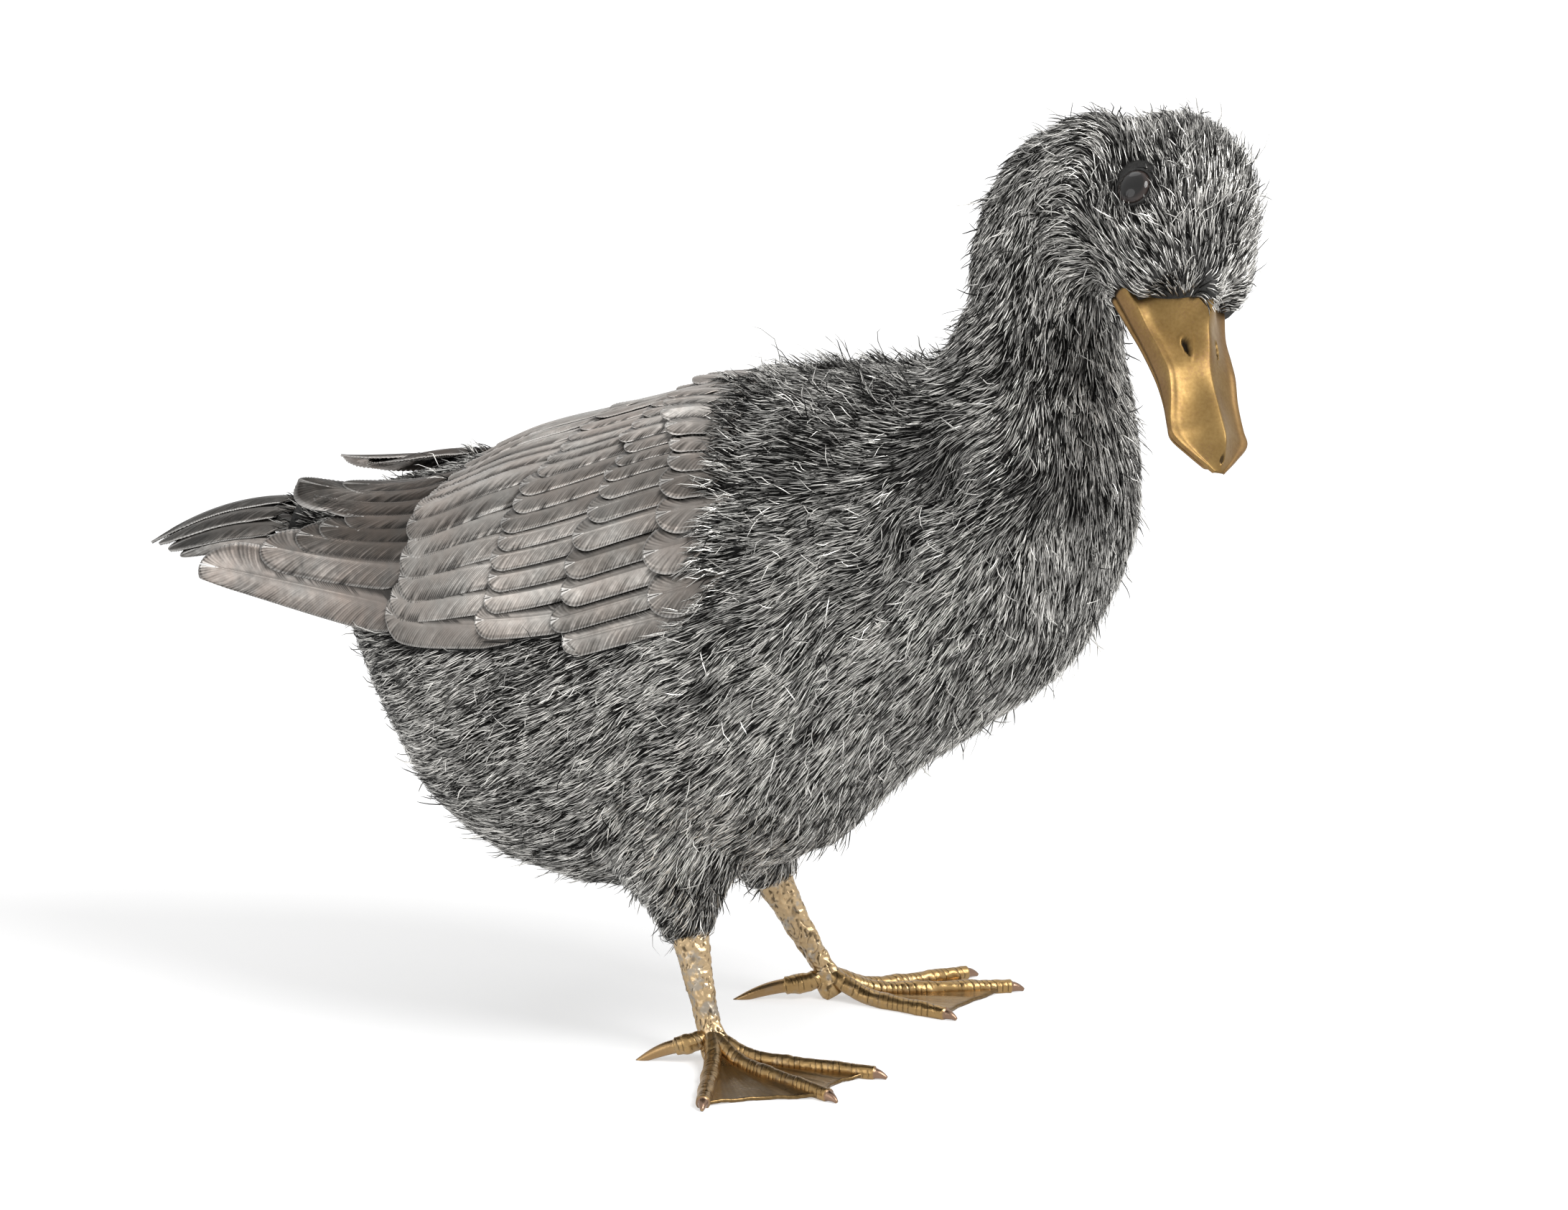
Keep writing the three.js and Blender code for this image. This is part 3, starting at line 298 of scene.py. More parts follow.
def seenRay(tree):
    # 1 for what the viewer sees straight, in a gloss or through glass
    rays = addNode(tree, "ShaderNodeLightPath").outputs
    seen = rays["Is Camera Ray"]
    for other in ("Is Glossy Ray", "Is Transmission Ray"):
        seen = addNode(tree, "ShaderNodeMath", {0: seen, 1: rays[other]}, operation="MAXIMUM").outputs[0]
    return seen


stage = {
    "radius": 3200, "corners": 64,
    "backdrop": 1.0,  # white, for what is seen of the room
    "roomLight": 0.58,  # the room's light on the duck
    "roomTone": 0.8,  # the floor's colour as it lights the duck
    "floorTone": 0.57,  # and as it is seen, with a glow that grows outwards
    "nearGlow": 0.51, "farGlow": 0.77, "near": 350, "far": 1300,
}


def setStage():
    world = bpy.data.worlds.new("studio")
    bpy.context.scene.world = world
    world.use_nodes = True
    tree = world.node_tree
    strength = addNode(tree, "ShaderNodeMapRange", {
        "Value": seenRay(tree), "To Min": stage["roomLight"], "To Max": stage["backdrop"],
    })
    background = tree.nodes["Background"]
    setSocket(tree, background.inputs["Color"], (1, 1, 1))
    setSocket(tree, background.inputs["Strength"], strength.outputs["Result"])

    material = bpy.data.materials.new("stageWhite")
    material.use_nodes = True
    tree = material.node_tree
    tree.nodes.clear()
    plain = addNode(tree, "ShaderNodeBsdfDiffuse", {"Color": (stage["roomTone"],) * 3})
    shaded = addNode(tree, "ShaderNodeBsdfDiffuse", {"Color": (stage["floorTone"],) * 3})
    place = addNode(tree, "ShaderNodeTexCoord").outputs["Object"]
    distance = addNode(tree, "ShaderNodeVectorMath", {0: place}, operation="LENGTH")
    growth = addNode(tree, "ShaderNodeMapRange", {
        "Value": distance.outputs["Value"], "From Min": stage["near"] * mm, "From Max": stage["far"] * mm,
        "To Min": stage["nearGlow"], "To Max": stage["farGlow"],
    })
    glow = addNode(tree, "ShaderNodeEmission", {"Strength": growth.outputs["Result"]})
    seen = addNode(tree, "ShaderNodeAddShader", {0: shaded.outputs[0], 1: glow.outputs[0]})
    choice = addNode(tree, "ShaderNodeMixShader", {0: seenRay(tree), 1: plain.outputs[0], 2: seen.outputs[0]})
    addNode(tree, "ShaderNodeOutputMaterial", {"Surface": choice.outputs[0]})

    turns = stage["corners"]
    angles = [2 * math.pi * k / turns for k in range(turns)]
    rim = [(stage["radius"] * mm * math.cos(a), stage["radius"] * mm * math.sin(a), 0) for a in angles]
    mesh = bpy.data.meshes.new("floor")
    mesh.from_pydata(rim, [], [list(range(turns))])
    mesh.materials.append(material)
    floor = bpy.data.objects.new("floor", mesh)
    bpy.context.collection.objects.link(floor)
    floor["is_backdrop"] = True


setLamps()
setStage()
bpy.context.scene.view_settings.view_transform = "Standard"
print("camera, lamps and stage are set")


# Finishes

def patinaGroup():
    # mottling of old silver and gilding: a mask of broad clouds broken by fine specks
    group = bpy.data.node_groups.new("patina", "ShaderNodeTree")
    for name, value in (("Cloud Size", 12.0), ("Speck Size", 1.5), ("Speck Share", 0.4), ("Contrast", 2.0)):
        group.interface.new_socket(name, in_out="INPUT", socket_type="NodeSocketFloat").default_value = value
    group.interface.new_socket("Mask", in_out="OUTPUT", socket_type="NodeSocketFloat")
    given = addNode(group, "NodeGroupInput").outputs
    place = addNode(group, "ShaderNodeTexCoord").outputs["Object"]
    layers = []
    for size in ("Cloud Size", "Speck Size"):
        scale = addNode(group, "ShaderNodeMath", {0: 1 / mm, 1: given[size]}, operation="DIVIDE")
        noise = addNode(group, "ShaderNodeTexNoise", {"Vector": place, "Scale": scale.outputs[0], "Detail": 3})
        layers.append(noise.outputs["Fac"])
    blend = addNode(group, "ShaderNodeMix", {"Factor": given["Speck Share"], "A": layers[0], "B": layers[1]})
    centre = addNode(group, "ShaderNodeMath", {0: blend.outputs["Result"], 1: 0.5}, operation="SUBTRACT")
    gain = addNode(group, "ShaderNodeMath", {0: centre.outputs[0], 1: given["Contrast"], 2: 0.5},
                   operation="MULTIPLY_ADD", use_clamp=True)
    addNode(group, "NodeGroupOutput", {"Mask": gain.outputs[0]})
    return group


patina = patinaGroup()


class Finish:
    # one material, with short ways to add the nodes that its maker needs
    def __init__(self, name, metallic, roughness, base):
        self.material = bpy.data.materials.new(name)
        self.material.use_nodes = True
        self.material.diffuse_color = (*base, 1)
        self.tree = self.material.node_tree
        self.shader = self.tree.nodes["Principled BSDF"]
        self.feed("Metallic", metallic)
        self.feed("Roughness", roughness)
        self.feed("Base Color", base)

    def feed(self, name, value):
        setSocket(self.tree, self.shader.inputs[name], value)

    def mark(self, name):
        return addNode(self.tree, "ShaderNodeAttribute", attribute_name=name).outputs["Fac"]

    def patinaMask(self, *values):
        # cloud size, speck size, share of the specks and contrast
        node = addNode(self.tree, "ShaderNodeGroup", node_tree=patina)
        for socket, value in zip(node.inputs, values):
            socket.default_value = value
        return node.outputs["Mask"]

    def product(self, a, b):
        return addNode(self.tree, "ShaderNodeMath", {0: a, 1: b}, operation="MULTIPLY").outputs[0]

    def spread(self, value, low, high, toLow, toHigh):
        return addNode(self.tree, "ShaderNodeMapRange", {
            "Value": value, "From Min": low, "From Max": high, "To Min": toLow, "To Max": toHigh,
        }).outputs["Result"]

    def colours(self, factor, first, second, way="MIX"):
        return addNode(self.tree, "ShaderNodeMix", {"Factor": factor, 6: first, 7: second},
                       data_type="RGBA", blend_type=way).outputs[2]

    def grain(self, size, depth, strength, detail=2.0):
        # a fine unevenness of the surface, its size and depth in millimetres
        place = addNode(self.tree, "ShaderNodeTexCoord").outputs["Object"]
        noise = addNode(self.tree, "ShaderNodeTexNoise", {
            "Vector": place, "Scale": 1 / (size * mm), "Detail": detail,
        })
        bump = addNode(self.tree, "ShaderNodeBump", {
            "Height": noise.outputs["Fac"], "Strength": strength, "Distance": depth * mm,
        })
        self.feed("Normal", bump.outputs["Normal"])


# Each finish's colours, and its roughness from its darkest to its brightest parts. Clouds, stains and the like
# are cloud size, speck size, share of the specks and contrast; grain is its size, depth and strength.
metals = {
    # the wire's root colour is its darkest tone, and the oxide and painted shade at its root
    "wire": {"root": (0.008, 0.0078, 0.0075), "bright": (0.97, 0.95, 0.905), "roughness": (0.46, 0.29)},
    "undercoat": {"dark": (0.008, 0.0078, 0.0075), "light": (0.045, 0.044, 0.042),
                  "clouds": (9, 0.9, 0.6, 2.4), "grain": (0.6, 0.3, 0.6)},
    "feather": {"dull": (0.35, 0.345, 0.335), "bright": (1.2, 1.2, 1.19), "warm": (0.36, 0.29, 0.25),
                "rim": (0.8, 0.78, 0.75), "shadedOxide": (0.035, 0.033, 0.031), "roughness": (0.42, 0.24),
                "clouds": (16, 2.2, 0.45, 3.2), "warmth": (26, 4, 0.3, 3.6), "grain": (0.5, 0.05, 0.35)},
    "bill": {"dull": (0.17, 0.103, 0.036), "bright": (0.262, 0.172, 0.067), "stain": (0.17, 0.095, 0.05),
             "flank": (0.2, 0.105, 0.075), "line": (0.015, 0.011, 0.008), "roughness": (0.56, 0.46),
             "clouds": (14, 1.1, 0.35, 3.0), "stains": (9, 0.7, 0.5, 4.0), "grain": (3, 0.1, 0.3)},
    "leg": {"dull": (0.25, 0.155, 0.058), "bright": (0.52, 0.355, 0.17), "worn": (0.5, 0.385, 0.25),
            "web": (0.32, 0.205, 0.085), "iris": (0.23, 0.27, 0.3), "claw": (0.22, 0.14, 0.115),
            "line": (0.03, 0.019, 0.01), "roughness": (0.42, 0.24),
            "clouds": (7, 0.9, 0.45, 3.0), "sheen": (5, 1.4, 0.3, 4.5), "grain": (0.9, 0.12, 0.6, 4.0)},
    "eye": {"dark": (0.004, 0.0038, 0.0038), "light": (0.012, 0.011, 0.0105), "rim": (0.05, 0.036, 0.032),
            "shine": 0.36, "clouds": (5, 0.8, 0.3, 2.0)},
    "steel": {"dark": (0.38, 0.385, 0.4), "light": (0.58, 0.59, 0.61), "roughness": (0.45, 0.32),
              "clouds": (8, 0.6, 0.5, 2.4), "grain": (0.4, 0.05, 0.4)},
}


def wireSilver():
    # bright drawn wire, darker towards its root, as oxide and as painted shade between the wires; tone is each wire's
    # own share of brightness
    metal = metals["wire"]
    finish = Finish("wireSilver", 1.0, 0.36, (0.3, 0.29, 0.28))
    tone = finish.mark("tone")
    # worn is the oxide and painted shade towards each wire's root
    worn = finish.spread(finish.mark("reach"), 0.02, 0.5, 0.12, 1)
    finish.feed("Base Color", finish.colours(finish.product(tone, worn), metal["root"], metal["bright"]))
    finish.feed("Roughness", finish.spread(tone, 0, 1, *metal["roughness"]))
    return finish.material


def undercoat():
    # the blackened shell between the wires, near black as oxide and as painted shade in the gaps
    metal = metals["undercoat"]
    finish = Finish("blackenedShadedSilver", 0.6, 0.62, (0.02, 0.0195, 0.019))
    finish.feed("Base Color", finish.colours(finish.patinaMask(*metal["clouds"]), metal["dark"], metal["light"]))
    finish.grain(*metal["grain"])
    return finish.material


def chasedSilver(name, bright, dark, warmth):
    # feathers: dark in the barb grooves, pale along the ridges and rims, mottled warm and cool, and darker as painted
    # shade, with oxide, where they come out from under others and on their undersides
    metal = metals["feather"]
    finish = Finish(name, 1.0, 0.36, bright)
    clouds = finish.patinaMask(*metal["clouds"])
    warm = finish.patinaMask(*metal["warmth"])
    base = finish.colours(clouds, tuple(0.62 * c for c in bright), bright)
    tinted = finish.colours(finish.product(warm, warmth), base, metal["warm"])
    toned = finish.colours(finish.mark("tone"), metal["dull"], metal["bright"])
    plate = finish.colours(1.0, tinted, toned, "MULTIPLY")
    groove = finish.product(finish.mark("groove"), finish.spread(clouds, 0, 1, 1, 0.6))
    grooved = finish.colours(groove, plate, dark)
    rimmed = finish.colours(finish.spread(finish.mark("rim"), 0.9, 1, 0, 0.4), grooved, metal["rim"])
    # painted shade with oxide under other feathers, and painted shade on the undersides
    shade = finish.spread(finish.mark("shadeAndOxide"), 0, 1, 0, 0.9)
    finish.feed("Base Color", finish.colours(shade, rimmed, metal["shadedOxide"]))
    finish.feed("Roughness", finish.spread(clouds, 0, 1, *metal["roughness"]))
    finish.grain(*metal["grain"])
    return finish.material


def polishedGilt():
    # the bill: thick polished gilding, cloudy, with brown stains, purplish darker flanks and undersides that are
    # partly stain and partly painted reflection, painted shade in the nostrils and notch, and a dark line where the
    # coat begins
    metal = metals["bill"]
    finish = Finish("polishedGilt", 1.0, 0.34, (0.4, 0.25, 0.08))
    clouds = finish.patinaMask(*metal["clouds"])
    colour = finish.colours(clouds, metal["dull"], metal["bright"])
    stain = finish.spread(finish.patinaMask(*metal["stains"]), 0.55, 1, 0, 0.5)
    stained = finish.colours(stain, colour, metal["stain"])
    # the far flank and the undersides darker, partly stain and partly painted reflection
    flank = finish.product(finish.mark("flank"), finish.spread(clouds, 0, 1, 0.3, 0.75))
    flanked = finish.colours(flank, stained, metal["flank"])
    finish.feed("Base Color", finish.colours(finish.mark("hollow"), flanked, metal["line"]))
    finish.feed("Roughness", finish.spread(clouds, 0, 1, *metal["roughness"]))
    finish.grain(*metal["grain"])
    return finish.material


def chasedGilt():
    # legs and feet: gilding that is bright on the ridges and near black in the chased lines
    metal = metals["leg"]
    finish = Finish("chasedGilt", 1.0, 0.32, (0.5, 0.36, 0.16))
    clouds = finish.patinaMask(*metal["clouds"])
    gilt = finish.colours(clouds, metal["dull"], metal["bright"])
    pale = finish.colours(finish.product(finish.mark("pale"), 0.6), gilt, metal["worn"])
    web = finish.colours(finish.mark("web"), pale, metal["web"])
    iris = finish.spread(finish.patinaMask(*metal["sheen"]), 0.62, 1, 0, 0.45)
    plain = finish.spread(finish.mark("web"), 0, 1, 1, 0.1)
    tinted = finish.colours(finish.product(iris, plain), web, metal["iris"])
    clawed = finish.colours(finish.mark("claw"), tinted, metal["claw"])
    finish.feed("Base Color", finish.colours(finish.mark("hollow"), clawed, metal["line"]))
    finish.feed("Roughness", finish.spread(clouds, 0, 1, *metal["roughness"]))
    finish.grain(*metal["grain"])
    return finish.material


def eyeGlass():
    metal = metals["eye"]
    finish = Finish("eyeGlass", 0.0, 0.07, (0.016, 0.014, 0.014))
    inner = finish.colours(finish.patinaMask(*metal["clouds"]), metal["dark"], metal["light"])
    ring = finish.spread(finish.mark("rim"), 0.72, 1, 0, 0.9)
    finish.feed("Base Color", finish.colours(ring, inner, metal["rim"]))
    finish.feed("Specular IOR Level", metal["shine"])
    return finish.material


def plainSteel():
    metal = metals["steel"]
    finish = Finish("turnedSteel", 1.0, 0.38, (0.5, 0.51, 0.53))
    clouds = finish.patinaMask(*metal["clouds"])
    finish.feed("Base Color", finish.colours(clouds, metal["dark"], metal["light"]))
    finish.feed("Roughness", finish.spread(clouds, 0, 1, *metal["roughness"]))
    finish.grain(*metal["grain"])
    return finish.material


wireFinish = wireSilver()
undercoatFinish = undercoat()
covertFinish = chasedSilver("chasedSilver", (0.45, 0.433, 0.41), (0.03, 0.028, 0.026), 0.5)
primaryFinish = chasedSilver("primarySilver", (0.31, 0.293, 0.277), (0.03, 0.028, 0.026), 0.7)
# the tail's silver is darker, as painted shade on the tail
tailFinish = chasedSilver("tailSilver", (0.3, 0.295, 0.285), (0.03, 0.03, 0.029), 0.35)
billFinish = polishedGilt()
legFinish = chasedGilt()
eyeFinish = eyeGlass()
steelFinish = plainSteel()
nodeFinishes = {"fur_silver": undercoatFinish, "feather_silver": covertFinish, "bill_gilt": billFinish,
                "leg_gilt": legFinish, "eye_glass": eyeFinish, "fixing_steel": steelFinish}
nodeSlots = {row["node"]: row["material_slot"] for row in frame["record"]["subparts"]}
for node, slotName in nodeSlots.items():
    held = frame["nodes"][node]
    material = undercoatFinish if node.startswith("wing_plate") else nodeFinishes[slotName]
    held.data.materials.clear()
    held.data.materials.append(material)
print("finishes are made")


# The body's surface, which the wings and the coat follow

body = {
    "stations": [  # belly x, z; back x, z; half width, from the rump to the neck ring
        (-150, 102, -152, 119, 10), (-136, 90, -141, 123, 22), (-119, 57, -124, 130, 37.5),
        (-100, 29, -104, 137, 50), (-74, 14, -78, 150.5, 60.5), (-48, 9.5, -50, 160, 65),
        (-9, 17, -22, 169.5, 66.5), (22, 28, 8, 176.5, 65), (45, 50, 30, 180.5, 61),
        (71, 69, 45, 181.5, 56), (96.5, 89, 53, 182.5, 50), (110.5, 109, 59, 185, 44.5),
        (119.5, 133, 63, 189, 39), (121.5, 151, 66, 193, 33.5), (120.5, 171, 68.5, 198.5, 28.5),
        (117.5, 190, 71, 205, 24),
    ],
    "waist": 0.47,
    "squareness": 2.15,
    "kneeHeight": 38,  # the stations' heights start here
}
upperOrigin = duckOrigin + np.array([0, 0, body["kneeHeight"]])
bodyTable = np.array(body["stations"], float)
bellyLine = smoothCurve(bodyTable[:, 0:2])
backLine = smoothCurve(bodyTable[:, 2:4])
bodyHalf = smoothCurve(bodyTable[:, 4], even=True)


def bodyPoint(share, angle, outside, side):
    # a place on the body, by its share of the way from rump to neck and its angle round from the back
    share, angle, outside = matched(share, angle, outside)
    belly, spine = bellyLine(share), backLine(share)
    waist = mix(belly, spine, body["waist"])
    high, wide = squared(np.cos(angle), body["squareness"]), squared(np.sin(angle), body["squareness"])
    arm = np.where((high > 0)[..., None], spine, belly) - waist
    length = np.linalg.norm(arm, axis=-1)
    point = waist + arm * (np.abs(high) * (1 + outside / length))[..., None]
    return np.stack([point[..., 0], side * wide * (bodyHalf(share)[..., 0] + outside), point[..., 1]], -1)


shell = {"thickness": 2.2, "halfSeam": 0.15, "steps": 80, "turns": 44}


def makeShells():
    # the two soldered halves of the body, smooth under their coat
    for sideName, side in sides.items():
        share, angle = np.meshgrid(
            np.linspace(0, 1, shell["steps"]), np.linspace(0, math.pi, shell["turns"]), indexing="ij"
        )
        layers = []
        for depth in (0, -shell["thickness"]):
            points = bodyPoint(share, angle, depth, side)
            points[..., 1] = side * np.maximum(side * points[..., 1], shell["halfSeam"])
            layers.append(points.reshape(-1, 3))
        uv = np.stack([share * 0.5, angle / math.pi], -1).reshape(-1, 2)
        piece = newPiece(
            f"undercoat_{sideName}", (np.concatenate(layers) + upperOrigin) * mm,
            [sheetFaces(shell["steps"], shell["turns"])], undercoatFinish,
            np.concatenate([uv, uv + np.array([0.5, 0])]),
        )
        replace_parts(piece, f"body_shell_{sideName}")
        yield piece


shellPieces = list(makeShells())
print("shells are made")


# Feathers

wing = {
    "front": (6.25, 6.75),  # in body stations, top and bottom
    "rear": (2.9, 2.85),
    "topAngle": (15, 25),  # round the body from the back, front and rear
    "bottomAngle": (79, 76.5),
    "plate": 1.6,  # the first feather's height over the body's shell
    "stack": 2.1,  # each row over the next
    "lift": 1.6,  # a feather's lower edge over the next feather
    "thickness": 0.45,
    "primaryRoot": 0.88,
    "panel": {"along": (0.0, 0.88), "across": (0.12, 0.95), "top": 0.9, "foot": 0.15, "steps": (40, 24)},
    "ridgeShare": 0.5,  # how high the feathers stand along the ridge of the back, as a share
    "primaryEnds": [(-172, 16, 134), (-178, 26, 124.5), (-184, 34, 113.5), (-188, 38, 102.5)],
}

# Each row's feathers by their tips, as places along and across the wing. Length and slant are a feather's
# own: how far its hidden root lies in front of its tip, and how much higher, both in millimetres.
covertRows = [
    {
        "tips": [(0.13, -0.13), (0.12, -0.03), (0.11, 0.08), (0.08, 0.19), (0.06, 0.29), (0.06, 0.37),
                 (0.08, 0.47), (0.09, 0.6), (0.13, 0.74), (0.13, 0.89)],
        "length": 22, "slant": 3, "lowSlant": 3, "tone": 0.2, "pitch": 1.45,
    },
    {
        "tips": [(0.19, -0.14), (0.2, -0.05), (0.22, 0.05), (0.25, 0.13), (0.22, 0.21), (0.24, 0.28), (0.27, 0.34),
                 (0.28, 0.41), (0.31, 0.5), (0.35, 0.6), (0.37, 0.71), (0.38, 0.81), (0.41, 0.91), (0.38, 0.99)],
        "length": 40, "slant": 4, "lowSlant": 3.5, "tone": 0.24, "pitch": 1.15,
    },
    {
        "tips": [(0.41, -0.245), (0.44, -0.13), (0.46, -0.04), (0.47, 0.05), (0.5, 0.13), (0.52, 0.2), (0.57, 0.28),
                 (0.58, 0.37), (0.61, 0.46), (0.61, 0.55), (0.63, 0.63), (0.63, 0.72), (0.64, 0.81), (0.67, 0.9)],
        "length": 52, "slant": 5, "lowSlant": 2, "tone": 0.42, "pitch": 1.1,
    },
    {
        "tips": [(0.86, -0.34), (0.9, -0.24), (0.94, -0.13), (0.96, -0.02), (0.98, 0.08), (1.02, 0.19),
                 (1.03, 0.31), (1.0, 0.44), (1.02, 0.56), (1.01, 0.69), (1.04, 0.83), (1.06, 0.94)],
        "length": 64, "slant": 5, "lowSlant": 2, "tone": 0.5, "pitch": 1.05,
    },
]
covert = {
    "long": 108, "deep": 70,  # the wing's surface, in millimetres
    "overlap": 1.42,  # a feather's width over its distance to the next
    "rim": 1.2,
    "widest": 16,
    "topShare": 0.34,  # the feathers over this line are paler
    "topTone": 0.68,
    "lowestExtra": 1.5,  # the lowest feather is this much wider
    "frontHeight": 1.2,  # where the first row rises out of the coat
}
primary = {
    # place across the wing, share of the way to the ends, width, the tip's length as a share of it, tone
    "feathers": [
        (-0.22, 0.62, 12.5, 1.5, 0.05), (-0.08, 0.8, 13, 1.7, 0.07), (0.06, 0.7, 12.5, 1.3, 0.06),
        (0.2, 0.52, 12.5, 1.1, 0.1), (0.32, 0.6, 13, 1.0, 0.08), (0.43, 0.67, 13.5, 0.8, 0.12),
        (0.59, 0.77, 16, 0.62, 0.28), (0.87, 0.94, 19, 0.62, 0.4),
    ],
    "lift": 1.3, "thickness": 0.5, "height": 1.0,
    "bend": 0.45,  # how long the feathers keep to the wing's line
    "farStand": 4,  # the left wing's feathers stand a little off the rump
    "farUnderLight": 0.9,  # and their undersides are painted lighter, as painted light
}
tail = {
    "feathers": 7, "rootX": -159.6, "length": 54, "archRadius": 17, "archHeight": 121, "fan": 130,
    "sideReach": 0.7, "droop": 20, "flattening": 0.45, "spread": 1.25, "width": 12, "layer": 1.2,
    "thickness": 0.6, "tipLength": 1.5, "tone": 0.3, "height": 0.5,
}
vane = {
    "barbPitch": 1.1, "barbDepth": 0.34,
    "grooves": (0.45, 1.15),  # how deep a groove is, as a share of the barbs' depth
    "rootWidth": 0.6, "rootGrowth": 1.3, "tipArc": 0.85, "shaftStop": 0.4, "rachisTaper": (1.2, 0.35),
    "barbBend": 0.66,
    "sweep": 1.3,  # how far a barb runs forward, as a share of the half width
    "tipLength": 0.62, "camber": 0.8, "rachis": 0.4, "rachisHeight": 0.2,
    "columns": (1, 0.78, 0.56, 0.34, 0.16),  # places on a barb, from the rim to the shaft
    # underShade is how dark the undersides are painted, as shade
    "rimHeight": 0.12, "ownTone": 0.13, "tipTone": 0.16, "featherTone": (-0.16, 0.2), "underShade": 0.7,
}


def wingPoint(along, across, outside, side):
    along, across, outside = matched(along, across, outside)
    station = mix(mix(*wing["front"], across), mix(*wing["rear"], across), along)
    angle = np.radians(mix(mix(*wing["topAngle"], along), mix(*wing["bottomAngle"], along), across))
    return bodyPoint(station / (len(bodyTable) - 1), angle, outside, side)


primaryEndLine = smoothCurve(wing["primaryEnds"])


def primaryBase(along, across, side):
    root = wingPoint(wing["primaryRoot"], across, 0, side)
    onward = unit(wingPoint(1, across, 0, side) - root)
    end = primaryEndLine(across) * np.array([1, side, 1])
    bend = root + onward * np.linalg.norm(root - end, axis=-1, keepdims=True) * primary["bend"]
    t = along[..., None]
    return root * (1 - t) ** 2 + bend * 2 * t * (1 - t) + end * t**2


def tailBase(along, across, _):
    angle = across * math.radians(tail["fan"] / 2)
    flat = 1 - tail["flattening"] * along
    drop = tail["archRadius"] * (1 - np.cos(angle)) * flat + tail["droop"] * along**2
    return np.stack([
        tail["rootX"] - tail["length"] * along,
        tail["archRadius"] * np.sin(angle) * mix(1, tail["spread"], along),
        tail["archHeight"] - drop,
    ], -1)


def lifted(base, side, facing):
    # a surface read by place along and across and by height over it
    def read(along, across, height):
        along, across, height = matched(along, across, height)
        step = 0.01
        lengthwise = base(along + step, across, side) - base(along - step, across, side)
        crosswise = base(along, across + step, side) - base(along, across - step, side)
        return base(along, across, side) + unit(np.cross(crosswise, lengthwise)) * (facing * height)[..., None]

    return read


